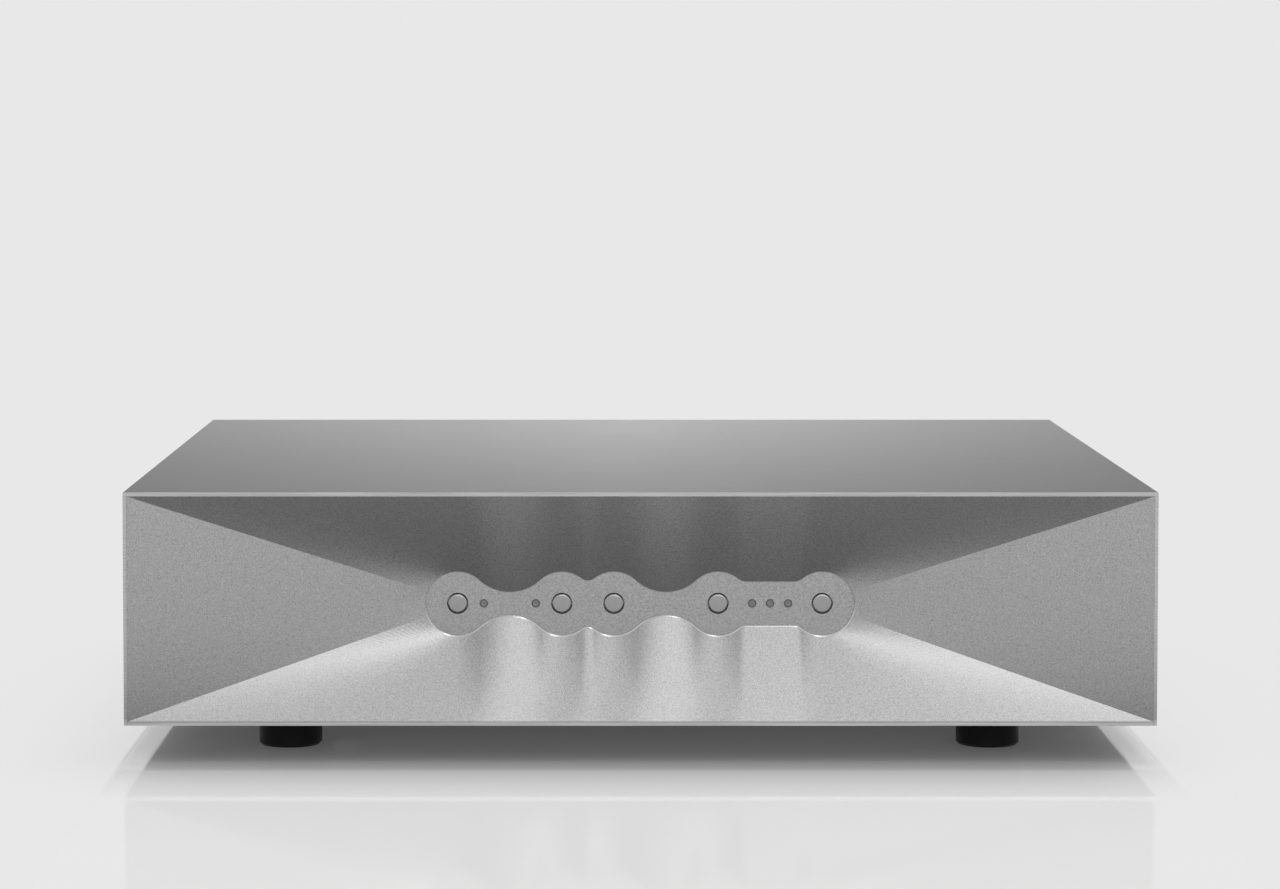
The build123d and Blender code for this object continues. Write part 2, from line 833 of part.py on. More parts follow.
def blade_places():
    """The two outer blades, and the earth blade set higher between them."""
    z = mid_z - socket_drop
    low = z - blade_offset
    high = z + blade_offset
    return [(inlet_x - blade_spread, low), (inlet_x, high), (inlet_x + blade_spread, low)]


def make_blade(x, z):
    inside_y = rear_y + inlet_flange - inlet_body_depth - blade_tail
    tip_y = socket_floor() + blade_length
    half = (blade_width / 2, blade_height / 2)
    blade = block((x - half[0], inside_y, z - half[1]), (x + half[0], tip_y, z + half[1]))
    return chamfer(blade.edges().group_by(Axis.Y)[-1], blade_tip)


def drawer_box(extra=0.0):
    """The drawer's block; extra opens it into the slot that it slides in."""
    half = drawer_width / 2 + extra
    z = mid_z + drawer_rise
    outer_y = rear_y + inlet_flange
    low = (inlet_x - half, outer_y - drawer_depth - extra, z - drawer_height / 2 - extra)
    return low, (inlet_x + half, outer_y, z + drawer_height / 2 + extra)


def make_fuse_drawer():
    """A small tray that carries the fuse crosswise, with a lip for a fingernail."""
    low, high = drawer_box()
    body = block(low, high)
    lip_low = (low[0] + drawer_lip_inset, high[1], high[2] - drawer_lip_height)
    body += block(lip_low, (high[0] - drawer_lip_inset, high[1] + drawer_lip, high[2]))
    inner_low = (low[0] + drawer_wall, low[1] + drawer_wall, low[2] + drawer_wall)
    inner_high = (high[0] - drawer_wall, inner_low[1] + 2 * (fuse_radius + fuse_gap), high[2])
    body -= block(inner_low, inner_high)
    relief_low = (low[0] + drawer_relief_inset, inner_high[1] + drawer_wall, low[2] + drawer_wall)
    return body - block(relief_low, (high[0] - drawer_relief_inset, high[1] - drawer_front_wall, high[2]))


def make_fuse():
    """A glass cartridge with two metal caps, lying across the drawer."""
    low, _ = drawer_box()
    y = low[1] + drawer_wall + fuse_radius + fuse_gap
    z = low[2] + drawer_wall + fuse_radius + seat_gap
    start = inlet_x - fuse_length / 2
    corners = [
        (0, 0), (0, fuse_radius), (fuse_cap, fuse_radius), (fuse_cap, fuse_radius - fuse_cap_wall),
        (fuse_length - fuse_cap, fuse_radius - fuse_cap_wall), (fuse_length - fuse_cap, fuse_radius),
        (fuse_length, fuse_radius), (fuse_length, 0),
    ]
    return Pos(start, y, z) * revolve(make_face(Polyline(*corners, close=True)), Axis.X)


def rocker_hole():
    """Half the width and height of the hole in the wall for the switch's body."""
    room = rocker_wall + seat_gap
    return rocker_opening_width / 2 + room, rocker_opening_height / 2 + room


def make_rocker_frame():
    """The switch's body with its lip outside the wall, open for the paddle."""
    half_w, half_h = rocker_frame_width / 2, rocker_frame_height / 2
    lip_y = rear_y + rocker_frame_lip
    body = block((rocker_x - half_w, rear_y, mid_z - half_h), (rocker_x + half_w, lip_y, mid_z + half_h))
    body = chamfer(body.edges().group_by(Axis.Y)[-1], rocker_frame_edge)
    half_w, half_h = (side - seat_gap for side in rocker_hole())
    inside_y = rear_y - rocker_body_depth
    body += block((rocker_x - half_w, inside_y, mid_z - half_h), (rocker_x + half_w, rear_y, mid_z + half_h))
    half_w, half_h = rocker_opening_width / 2, rocker_opening_height / 2
    floor_y = lip_y - rocker_cavity_depth
    body -= block((rocker_x - half_w, floor_y, mid_z - half_h), (rocker_x + half_w, lip_y, mid_z + half_h))
    pin_half = half_w + rocker_pin_length
    bore = rocker_pin_radius + running_gap
    return body - rod_x(rocker_x - pin_half, rocker_pivot_y, mid_z, bore, 2 * pin_half)


def make_rocker():
    """The paddle: two faces that fall to the middle, on a pivot pin, tilted to its off position."""
    half = rocker_half_height
    high = rocker_pivot_depth + rocker_end_rise
    foot = half - rocker_skirt
    corners = [(high, -half), (rocker_pivot_depth, 0), (high, half), (0, foot),
               (-rocker_keel, rocker_keel_half), (-rocker_keel, -rocker_keel_half), (0, -foot)]
    width = rocker_opening_width - 2 * rocker_side_gap
    outline = make_face(Polyline(*[(0, along, rise) for along, rise in corners], close=True))
    body = Pos(-width / 2, 0, 0) * extrude(outline, width, dir=(1, 0, 0))
    pin_length = rocker_opening_width + 2 * rocker_pin_length - 2 * running_gap
    body += rod_x(-pin_length / 2, 0, 0, rocker_pin_radius, pin_length)
    return Pos(rocker_x, rocker_pivot_y, mid_z) * Rot(X=rocker_tilt) * body


# Transformer

def make_winding():
    """The wound ring, rounded on all four edges of its section."""
    middle = (core_radius + core_hole_radius) / 2
    section = RectangleRounded(core_radius - core_hole_radius, core_height, core_round)
    section = Pos(middle, 0, core_height / 2) * Rot(X=90) * section
    return Pos(core_x, core_y, tray_top + pad_thickness) * revolve(section, Axis.Z)


def make_pad(z):
    """A rubber ring as wide as the flat of the winding."""
    body = rod_z(core_x, core_y, z, core_radius - core_round, pad_thickness)
    return body - rod_z(core_x, core_y, z, core_hole_radius, pad_thickness)


def make_clamp():
    """A dished washer that presses on the upper pad and dips into the ring's hole."""
    z = tray_top + 2 * pad_thickness + core_height
    dish = clamp_dish
    hole = bolt_radius + clamp_hole_gap
    foot = core_hole_radius - clamp_slope
    corners = [
        (hole, 0), (foot, 0), (core_hole_radius, dish), (clamp_radius, dish),
        (clamp_radius, dish + clamp_thickness), (core_hole_radius - 1, dish + clamp_thickness),
        (foot - 1, clamp_thickness), (hole, clamp_thickness),
    ]
    return turned_z(core_x, core_y, z, [(radius, height - dish) for radius, height in corners])


# Boards and what they carry

def make_board(box):
    """A circuit board with its corner holes."""
    body = block(*box)
    for x, y in board_hole_places(box):
        body -= rod_z(x, y, box[0][2], m3[0] / 2 + thread_gap, board_thickness)
    return body


def make_standoff(x, y):
    """A round standoff clinched into the tray, tapped from above."""
    seat_z = tray_top + standoff_height
    corners = [
        (0, case_bottom), (standoff_spigot_radius, case_bottom), (standoff_spigot_radius, tray_top),
        (standoff_radius, tray_top), (standoff_radius, seat_z), (0, seat_z),
    ]
    body = turned_z(x, y, 0, corners)
    return body - rod_z(x, y, seat_z - board_screw_length, m3[0] / 2 + thread_gap, board_screw_length)


def on_board(x, y, size):
    """A box that stands on the boards' upper face, centred on the point."""
    half_x, half_y = size[0] / 2, size[1] / 2
    return block((x - half_x, y - half_y, board_top), (x + half_x, y + half_y, board_top + size[2]))


def make_can_capacitor(x, y, radius, height):
    """An upright capacitor with a rolled groove near its foot."""
    corners = [
        (0, 0), (radius, 0), (radius, groove_rise), (radius - groove_depth, groove_rise + groove_half),
        (radius, groove_rise + 2 * groove_half), (radius, height - cap_edge), (radius - cap_edge, height),
        (0, height),
    ]
    return turned_z(x, y, board_top, corners)


def make_chip(x, y):
    """A dual in-line chip with its end notch, on its socket."""
    width, depth, height = chip_size
    body = on_board(x, y, chip_size)
    return body - rod_z(x, y + depth / 2, board_top + height - chip_notch, chip_notch, chip_notch)


def make_shield_can():
    """A five-sided steel box over the input stage, open below."""
    x, y = input_jack_x + can_shift, rear_y - can_setback
    body = on_board(x, y, can_size)
    inner = (can_size[0] - 2 * can_wall, can_size[1] - 2 * can_wall, can_size[2] - can_wall)
    return body - on_board(x, y, inner)


def make_heatsink():
    """An extruded plate with a comb of fins, upright on the power board."""
    width, depth, height = heatsink_size
    x, y = heatsink_place
    left, web_y, top_z = x - width / 2, y + heatsink_web, board_top + height
    body = block((left, y, board_top), (x + width / 2, web_y, top_z))
    pitch = (width - heatsink_fin) / (heatsink_fins - 1)
    for step in range(heatsink_fins):
        fin_x = left + step * pitch
        body += block((fin_x, web_y, board_top), (fin_x + heatsink_fin, y + depth, top_z))
    return body


def make_regulator(x):
    """A flat power regulator against the heatsink: tab, moulded body and three legs."""
    y = heatsink_place[1]
    half = regulator_width / 2
    low_z = board_top + regulator_rise
    tab_y = y - regulator_tab[0]
    body = block((x - half, tab_y, low_z), (x + half, y, low_z + regulator_tab[1]))
    body -= rod_y(x, tab_y, low_z + regulator_hole_rise, regulator_hole_radius, regulator_tab[0])
    body += block((x - half, tab_y - regulator_body[0], low_z), (x + half, tab_y, low_z + regulator_body[1]))
    leg_x, leg_y = regulator_leg[0] / 2, regulator_leg[1] / 2
    middle_y = y - regulator_leg_setback
    for step in (-1, 0, 1):
        middle_x = x + step * regulator_leg_pitch
        low = (middle_x - leg_x, middle_y - leg_y, board_top)
        body += block(low, (middle_x + leg_x, middle_y + leg_y, low_z))
    return body


def make_terminal_block(x, y, ways, turn):
    """A row of screw terminals: a stepped block with a well over each screw."""
    width = ways * terminal_pitch
    depth, height = terminal_size
    body = on_board(x, y, (width, depth, height))
    near, far = sorted([y + turn * depth / 2, y + turn * (depth / 2 - terminal_ledge)])
    top_z = board_top + height
    ledge_z = board_top + height * terminal_ledge_share
    body -= block((x - width / 2, near, ledge_z), (x + width / 2, far, top_z))
    well_z = top_z - terminal_well_depth
    for step in range(ways):
        well_x = x + (step - (ways - 1) / 2) * terminal_pitch
        body -= rod_z(well_x, y - turn, well_z, terminal_well_radius, terminal_well_depth)
    return body


def lead(points, radius):
    """A round lead along straight runs joined by tangent arcs."""
    path = FilletPolyline(*points, radius=radius)
    return sweep(Plane(path @ 0, z_dir=path % 0) * Circle(lead_diameter / 2), path)


def stepped_lead(x, start_y, start_z, end_y, end_z):
    """A lead that runs level, slants over the middle third, and runs level again."""
    third = (end_y - start_y) / 3
    points = [(x, start_y, start_z), (x, start_y + third, start_z),
              (x, end_y - third, end_z), (x, end_y, end_z)]
    return lead(points, lead_bend)


def terminal_entry_z():
    return board_top + terminal_size[1] * terminal_entry_share


def blade_end_y():
    return rear_y + inlet_flange - inlet_body_depth - blade_tail - seat_gap


def make_mains_leads():
    """From the inlet's blades and the switch forward and down to the terminals at the board's rear edge."""
    terminal_y = power_board_back - terminal_inset + terminal_size[0] / 2 + seat_gap
    starts = [(x, blade_end_y(), z) for x, z in blade_places()]
    starts += [(x, rear_y - rocker_body_depth - seat_gap, mid_z) for x in rocker_lead_xs()]
    return [stepped_lead(x, y, z, terminal_y, terminal_entry_z()) for x, y, z in starts]


def rocker_lead_xs():
    return [rocker_x - terminal_pitch / 2, rocker_x + terminal_pitch / 2]


def make_transformer_leads():
    """From the winding's side back and down to the terminals at the board's front edge."""
    terminal_y = power_board_front + terminal_inset - terminal_size[0] / 2 - seat_gap
    start_z = tray_top + pad_thickness + core_height / 2
    leads = []
    for step in range(transformer_ways):
        shift = (step - (transformer_ways - 1) / 2) * terminal_pitch
        start_y = core_y + math.sqrt(core_radius**2 - (abs(shift) - lead_diameter / 2) ** 2) + seat_gap
        leads.append(stepped_lead(core_x + shift, start_y, start_z, terminal_y, terminal_entry_z()))
    return leads


def make_supply_leads():
    """Three arched leads from the power board across to the main board."""
    start_x = power_box[1][0] - supply_lead_inset
    end_x = main_board_left + supply_lead_inset
    high_z = board_top + supply_lead_rise
    leads = []
    for step in range(3):
        y = rear_y - supply_lead_setback - step * supply_lead_pitch
        points = [(start_x, y, board_top), (start_x, y, high_z), (end_x, y, high_z), (end_x, y, board_top)]
        leads.append(lead(points, lead_bend))
    return leads


def make_signal_leads():
    """From each socket's tail forward and down to the main board."""
    tail_y = rear_y - jack_thread_length - jack_tail_length - seat_gap
    leads = []
    for x, z in jack_places():
        run = signal_lead_runs[1 if z > mid_z else 0]
        points = [(x, tail_y, z), (x, tail_y - run, z), (x, tail_y - run, board_top)]
        leads.append(lead(points, lead_bend))
    return leads


def make_control_ribbon():
    """A flat ribbon from the control board's header back and down to the main board's."""
    start_y = panel_back_y + board_thickness + header_size[1] + seat_gap
    end_y = main_box[0][1] + header_inset
    end_z = board_top + header_size[1] + seat_gap
    points = [(ribbon_x, start_y, mid_z), (ribbon_x, start_y + ribbon_run, mid_z),
              (ribbon_x, end_y, end_z + ribbon_rise), (ribbon_x, end_y, end_z)]
    path = FilletPolyline(*points, radius=ribbon_bend)
    section = Plane(path @ 0, x_dir=(1, 0, 0), z_dir=path % 0) * Rectangle(ribbon_width, ribbon_thickness)
    return sweep(section, path)


def make_ribbon_headers():
    """One header on the control board's back and one on the main board."""
    width, length, depth = header_size
    y = panel_back_y + board_thickness
    low = (ribbon_x - width / 2, y, mid_z - depth / 2)
    first = block(low, (ribbon_x + width / 2, y + length, mid_z + depth / 2))
    second = on_board(ribbon_x, main_box[0][1] + header_inset, (width, depth, length))
    return [first, second]


# Case and feet

save("front_panel", make_front_panel())
save("top_cover", make_top_cover())
save("bottom_tray", make_bottom_tray())
save("rear_panel", make_rear_panel())
save("cover_screws", *[cover_screw(side, y) for y in cover_screw_ys() for side in (-1, 1)])
save("front_panel_screws", *[tray_screw(x, y, front_screw_length) for x, y in front_screw_places()])
save("rear_panel_screws", *[tray_screw(x, y, rear_screw_length) for x, y in rear_screw_places()])

foot_names = ["foot_front_left", "foot_rear_left", "foot_front_right", "foot_rear_right"]
for name, (x, y) in zip(foot_names, foot_places()):
    save(name, make_foot(x, y))
foot_screw_length = foot_height - foot_bore_depth + sheet + nut_height
save("foot_screws", *[screw_up(x, y, foot_bore_depth, m4, foot_screw_length) for x, y in foot_places()])
nut_hole = m4[0] / 2 + thread_gap
foot_nut = hexagon_z(0, 0, tray_top, nut_flats, nut_height) - rod_z(0, 0, tray_top, nut_hole, nut_height)
save("foot_nuts", *[Pos(x, y, 0) * foot_nut for x, y in foot_places()])

# Buttons, lights and the control board

for number, x in enumerate(lobe_centres, 1):
    save(f"button_{number}", make_button(x))
save("push_switches", *[make_switch(x) for x in lobe_centres])
save("light_pipes", *[make_light_pipe(x) for x in light_centres])
lamp_half = led_side / 2
save("indicator_lamps", *[block((x - lamp_half, panel_back_y - led_height, mid_z - lamp_half),
                                (x + lamp_half, panel_back_y, mid_z + lamp_half)) for x in light_centres])
save("control_board", make_control_board())
save("control_board_screws", *[screw_forward(x, panel_back_y + board_thickness, z, m25, control_screw_length)
                               for x, z in control_screw_places()])
save("control_ribbon", make_control_ribbon())
save("ribbon_headers", *make_ribbon_headers())

# Main board

board_screw_places = board_hole_places(main_box) + board_hole_places(power_box)
save("main_board", make_board(main_box))
save("board_standoffs", *[make_standoff(x, y) for x, y in board_screw_places])
save("board_screws", *[screw_down(x, y, board_top, m3, board_screw_length) for x, y in board_screw_places])
save("shield_can", make_shield_can())
relay_x, relay_y = main_board_left + relay_inset, rear_y - relay_setback
save("relays", *[on_board(relay_x + step * relay_pitch, relay_y, relay_size) for step in range(6)])
film_x, film_y = main_board_left + film_inset, rear_y - film_setback
save("film_capacitors", *[on_board(film_x + column * film_pitch[0], film_y - row * film_pitch[1], film_size)
                          for column in range(4) for row in range(2)])
can_x, can_y = main_board_left + signal_can_inset, main_box[0][1] + signal_can_front
can_places = [(can_x + column * signal_can_pitch, can_y + row * signal_can_pitch)
              for column in range(4) for row in range(2)]
save("signal_capacitors", *[make_can_capacitor(x, y, signal_can_radius, signal_can_height)
                            for x, y in can_places])
chip_x, chip_y = main_board_left + chip_inset, rear_y - chip_setback
save("amplifier_chips", *[make_chip(chip_x + column * chip_pitch[0], chip_y - row * chip_pitch[1])
                          for column in range(3) for row in range(2)])

# Power board and transformer

save("power_board", make_board(power_box))
save("reservoir_capacitors", *[make_can_capacitor(power_board_x + x, reservoir_y + y,
                                                  reservoir_radius, reservoir_height)
                               for x, y in four_corners(reservoir_pitch / 2, reservoir_pitch / 2)])
save("rectifier", on_board(*rectifier_place, rectifier_size))
save("heatsink", make_heatsink())
save("regulators", *[make_regulator(heatsink_place[0] + side * regulator_spread) for side in (-1, 1)])
rear_terminal_y = power_board_back - terminal_inset
front_terminal_y = power_board_front + terminal_inset
save("terminal_blocks",
     make_terminal_block(inlet_x, rear_terminal_y, 3, 1),
     make_terminal_block(rocker_x, rear_terminal_y, 2, 1),
     make_terminal_block(core_x, front_terminal_y, transformer_ways, -1))
upper_pad_z = tray_top + pad_thickness + core_height
clamp_z = upper_pad_z + pad_thickness
save("transformer_winding", make_winding())
save("transformer_pads", make_pad(tray_top), make_pad(upper_pad_z))
save("transformer_clamp", make_clamp())
bolt_nut_z = clamp_z - clamp_dish + clamp_thickness
bolt_length = bolt_nut_z + bolt_nut_height + bolt_end - case_bottom
save("transformer_bolt", rod_z(core_x, core_y, case_bottom, bolt_radius, bolt_length)
     + rod_z(core_x, core_y, case_bottom - bolt_head_height, bolt_head_radius, bolt_head_height))
save("transformer_nut", hexagon_z(core_x, core_y, bolt_nut_z, bolt_nut_flats, bolt_nut_height)
     - rod_z(core_x, core_y, bolt_nut_z, bolt_radius + thread_gap, bolt_nut_height))

# Mains inlet, fuse and switch

save("inlet_housing", make_inlet_housing())
save("inlet_blades", *[make_blade(x, z) for x, z in blade_places()])
save("inlet_screws", *[screw_forward(x, rear_y + inlet_flange, mid_z, m3, inlet_screw_length)
                       for x in inlet_screw_xs()])
save("fuse_drawer", make_fuse_drawer())
save("fuse", make_fuse())
save("rocker_frame", make_rocker_frame())
save("rocker", make_rocker())

# Sockets and earth terminal

places = jack_places()
save("output_jacks", *[make_jack_shell(x, z) for x, z in places if x == output_jack_x])
save("input_jacks", *[make_jack_shell(x, z) for x, z in places if x == input_jack_x])
save("jack_nuts", *[make_jack_nut(x, z) for x, z in places])
save("jack_cores_left", *[make_jack_insulator(x, z) for x, z in places if z > mid_z])
save("jack_cores_right", *[make_jack_insulator(x, z) for x, z in places if z < mid_z])
save("jack_contacts", *[make_jack_contact(x, z) for x, z in places])
save("ground_post", make_ground_post())
save("ground_nut", make_ground_nut())

save("internal_leads", *make_mains_leads(), *make_transformer_leads(),
     *make_supply_leads(), *make_signal_leads())
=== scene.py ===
"""The looks of a phono preamplifier: a carved aluminium front in a brushed case on black feet.

Metres and degrees. X runs along the width, Y from the front to the rear, Z up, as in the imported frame.
"""
import json
import math

import bmesh
import bpy
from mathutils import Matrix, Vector


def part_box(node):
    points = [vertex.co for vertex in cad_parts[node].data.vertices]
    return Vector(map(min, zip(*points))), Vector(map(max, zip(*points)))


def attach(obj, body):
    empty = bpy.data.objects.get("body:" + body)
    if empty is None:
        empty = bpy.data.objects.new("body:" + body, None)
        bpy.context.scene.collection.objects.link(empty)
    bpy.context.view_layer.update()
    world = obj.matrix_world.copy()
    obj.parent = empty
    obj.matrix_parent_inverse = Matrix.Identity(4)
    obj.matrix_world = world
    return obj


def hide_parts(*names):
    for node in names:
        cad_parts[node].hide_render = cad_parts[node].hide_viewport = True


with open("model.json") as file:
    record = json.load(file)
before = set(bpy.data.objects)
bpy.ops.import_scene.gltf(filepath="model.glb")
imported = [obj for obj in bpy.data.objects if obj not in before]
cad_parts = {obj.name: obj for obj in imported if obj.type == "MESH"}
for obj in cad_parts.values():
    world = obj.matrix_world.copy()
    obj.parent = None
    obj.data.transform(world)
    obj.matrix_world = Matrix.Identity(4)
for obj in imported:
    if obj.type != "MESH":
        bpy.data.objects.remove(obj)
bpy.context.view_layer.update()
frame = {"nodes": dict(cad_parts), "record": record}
nodes = frame["nodes"]

# Sizes shared with the solids
panel_low, panel_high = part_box("front_panel")
cover_low, cover_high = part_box("top_cover")
sheet = 0.0015
front_y = panel_low.y
back_y = panel_high.y
mid_z = (cover_low.z + cover_high.z) / 2
half_width = cover_high.x
half_height = (cover_high.z - cover_low.z) / 2
seat_gap = 0.00005
panel_land = 0.0003
recess_depth = 0.017
island_step = 0.001
island_floor = 0.004
lobe_radius = 0.0136
crease_angle = 23.0
wide_valley = 0.005
notch_valley = 0.0099
bridge_height = 0.0094
bridge_fillet = 0.0055
button_hole_radius = 0.0045
button_radius = 0.0041
button_proud = 0.0006
button_flange_radius = 0.0057
button_flange = 0.0012
button_stem_radius = 0.0017
light_radius = 0.0017
light_hole_radius = 0.0018
light_inset = 0.011
light_row_pitch = 0.0076
pocket_half = (0.102, 0.020)
pocket_corner = 0.003
foot_bevel = 0.001
foot_bore_radius = 0.005
foot_bore_depth = 0.009
foot_hole_radius = 0.00205

island_y = front_y + recess_depth + island_step
pocket_y = island_y + island_floor
button_names = [f"button_{number}" for number in range(1, 6)]
foot_names = ["foot_front_left", "foot_front_right", "foot_rear_left", "foot_rear_right"]
button_boxes = [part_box(name) for name in button_names]
lobe_centres = [(low.x + high.x) / 2 for low, high in button_boxes]
row_middle = (lobe_centres[3] + lobe_centres[4]) / 2
light_centres = [
    lobe_centres[0] + light_inset,
    lobe_centres[1] - light_inset,
    row_middle - light_row_pitch,
    row_middle,
    row_middle + light_row_pitch,
]

# Edges and marks of the scene's own
button_edge = 0.0008
lip_width = 0.0005
lip_least = 0.15
lip_growth = 2
lip_angle = 40
lip_stops = (0.5, 1)
lip_slope = math.tan(math.radians(lip_angle))
lip_square_least = 0.35
tool_line_pitch = 0.00028
tool_line_height = 0.000006
# Where the painted highlight along the cover's bottom edges lies, in height and in how squarely the
# edges face along Y
rim_highlight_height = (cover_low.z + 0.001, cover_low.z + 0.003)
rim_highlight_facing = (0.7, 0.9)
# Painted shade on each indicator light: darker from the first distance out to the second and beyond
light_rim_shade_band = (0.65 * light_radius, 0.85 * light_radius)

# How finely the meshes are made
turned_steps = 96
turned_offset = 0.3
edge_steps = 6
button_hole_steps = 64
light_hole_steps = 32
pocket_corner_steps = 8
nose_steps = 32
shoulder_steps = 56
valley_steps = 26
bridge_flank_steps = 22
bridge_bend_steps = 18
face_rows = 24
smooth_angle = 30.0
front_smooth_angle = 2.0
merge_distance = 1e-7
cut_margin = 0.0005
bore_tolerance = 0.0001

# How strongly the grain shows
grain_detail = 3.0
grain_band = (0.3, 0.7)
gloss_swing = 0.14


# Node trees

def start_material(name, colour, roughness, metallic=0.0):
    """A new material with its principled shader."""
    material = bpy.data.materials.new(name)
    material.use_nodes = True
    tree = material.node_tree
    shader = tree.nodes["Principled BSDF"]
    shader.inputs["Base Color"].default_value = (*colour, 1)
    shader.inputs["Roughness"].default_value = roughness
    shader.inputs["Metallic"].default_value = metallic
    return material, tree, shader


def calculate(tree, operation, *values):
    """The result of one sum on values that are sockets or numbers."""
    node = tree.nodes.new("ShaderNodeMath")
    node.operation = operation
    for socket, value in zip(node.inputs, values):
        if isinstance(value, (int, float)):
            socket.default_value = value
        else:
            tree.links.new(value, socket)
    return node.outputs[0]


def position(tree):
    """The X, Y and Z of the place on the surface."""
    place = tree.nodes.new("ShaderNodeTexCoord")
    split = tree.nodes.new("ShaderNodeSeparateXYZ")
    tree.links.new(place.outputs["Object"], split.inputs["Vector"])
    return split.outputs


def noise(tree, size, stretch):
    """Noise with grains of that size, in metres, drawn out along the axes by stretch."""
    place = tree.nodes.new("ShaderNodeTexCoord")
    scale = tree.nodes.new("ShaderNodeMapping")
    scale.inputs["Scale"].default_value = [1 / (size * share) for share in stretch]
    cloud = tree.nodes.new("ShaderNodeTexNoise")
    cloud.inputs["Scale"].default_value = 1.0
    cloud.inputs["Detail"].default_value = grain_detail
    tree.links.new(place.outputs["Object"], scale.inputs["Vector"])
    tree.links.new(scale.outputs["Vector"], cloud.inputs["Vector"])
    return cloud.outputs["Fac"]


def spread(tree, source, low, high, source_low, source_high):
    """Runs from low to high while the source runs between its own two values."""
    ranged = tree.nodes.new("ShaderNodeMapRange")
    ranged.inputs["From Min"].default_value = source_low
    ranged.inputs["From Max"].default_value = source_high
    ranged.inputs["To Min"].default_value = low
    ranged.inputs["To Max"].default_value = high
    tree.links.new(source, ranged.inputs["Value"])
    return ranged.outputs["Result"]


def tint(tree, shader, source, dark, light):
    """Runs the shader's colour from dark to light with the grain."""
    mix = tree.nodes.new("ShaderNodeMix")
    mix.data_type = "RGBA"
    mix.inputs["A"].default_value = (*dark, 1)
    mix.inputs["B"].default_value = (*light, 1)
    tree.links.new(spread(tree, source, 0, 1, *grain_band), mix.inputs["Factor"])
    tree.links.new(mix.outputs["Result"], shader.inputs["Base Color"])


def scale_colour(tree, share):
    """Multiplies the colour that the tree's shader already has by a share."""
    shader = tree.nodes["Principled BSDF"]
    scaled = tree.nodes.new("ShaderNodeVectorMath")
    scaled.operation = "SCALE"
    tree.links.new(shader.inputs["Base Color"].links[0].from_socket, scaled.inputs["Vector"])
    tree.links.new(share, scaled.inputs["Scale"])
    tree.links.new(scaled.outputs["Vector"], shader.inputs["Base Color"])


def bump(tree, shader, source, distance):
    """Adds relief of that height, in metres, over what the shader's normal already has."""
    relief = tree.nodes.new("ShaderNodeBump")
    relief.inputs["Distance"].default_value = distance
    relief.inputs["Strength"].default_value = 1.0
    tree.links.new(source, relief.inputs["Height"])
    before = shader.inputs["Normal"].links
    if before:
        tree.links.new(before[0].from_socket, relief.inputs["Normal"])
    tree.links.new(relief.outputs["Normal"], shader.inputs["Normal"])


def shade(colour, factor):
    """A colour made darker or lighter."""
    return [min(1.0, channel * factor) for channel in colour]


def grained(name, colour, roughness, metallic, grain, height, contrast=0.06, stretch=(1, 1, 1)):
    """A surface whose colour, gloss and relief all vary with one fine grain."""
    material, tree, shader = start_material(name, colour, roughness, metallic)
    fine = noise(tree, grain, stretch)
    tint(tree, shader, fine, shade(colour, 1 - contrast), shade(colour, 1 + contrast))
    smoothest, roughest = roughness * (1 - gloss_swing), roughness * (1 + gloss_swing)
    tree.links.new(spread(tree, fine, smoothest, roughest, *grain_band), shader.inputs["Roughness"])
    bump(tree, shader, fine, height)
    return material


def add_tool_lines(material):
    """Fine cutter lines at equal depths, which follow the island's outline down the carved faces."""
    tree = material.node_tree
    turns = calculate(tree, "MULTIPLY", position(tree)["Y"], 2 * math.pi / tool_line_pitch)
    bump(tree, tree.nodes["Principled BSDF"], calculate(tree, "SINE", turns), tool_line_height)


def add_painted_rim_highlight(material, factor):
    """Paints a highlight on the case's bottom edges that face the front and the rear, by brightening the
    colour there.
    """
    tree = material.node_tree
    surface = tree.nodes.new("ShaderNodeNewGeometry")
    split = tree.nodes.new("ShaderNodeSeparateXYZ")
    tree.links.new(surface.outputs["Normal"], split.inputs["Vector"])
    low = spread(tree, position(tree)["Z"], 1, 0, *rim_highlight_height)
    along_y = calculate(tree, "ABSOLUTE", split.outputs["Y"])
    facing = spread(tree, along_y, 0, 1, *rim_highlight_facing)
    scale_colour(tree, spread(tree, calculate(tree, "MULTIPLY", low, facing), 1, factor, 0, 1))


def add_light_rim_shade(material, dark):
    """Paints shade as a darker ring round the frosted middle of each indicator light."""
    tree = material.node_tree
    place = tree.nodes.new("ShaderNodeTexCoord")
    flat = tree.nodes.new("ShaderNodeVectorMath")
    flat.operation = "MULTIPLY"
    flat.inputs[1].default_value = (1, 0, 1)
    tree.links.new(place.outputs["Object"], flat.inputs[0])
    distances = []
    for x in light_centres:
        away = tree.nodes.new("ShaderNodeVectorMath")
        away.operation = "DISTANCE"
        away.inputs[1].default_value = (x, 0, mid_z)
        tree.links.new(flat.outputs["Vector"], away.inputs[0])
        distances.append(away.outputs["Value"])
    nearest = distances[0]
    for distance in distances[1:]:
        nearest = calculate(tree, "MINIMUM", nearest, distance)
    scale_colour(tree, spread(tree, nearest, 1, dark, *light_rim_shade_band))


# Materials

front_metal = grained("carved aluminium", (0.388, 0.388, 0.388), roughness=0.36, metallic=1.0,
                      grain=0.00045, height=0.000004, contrast=0.27)
add_tool_lines(front_metal)
edge_metal = grained("cut edge", (0.68, 0.68, 0.68), roughness=0.22, metallic=1.0,
                     grain=0.0005, height=0.000004, contrast=0.04)
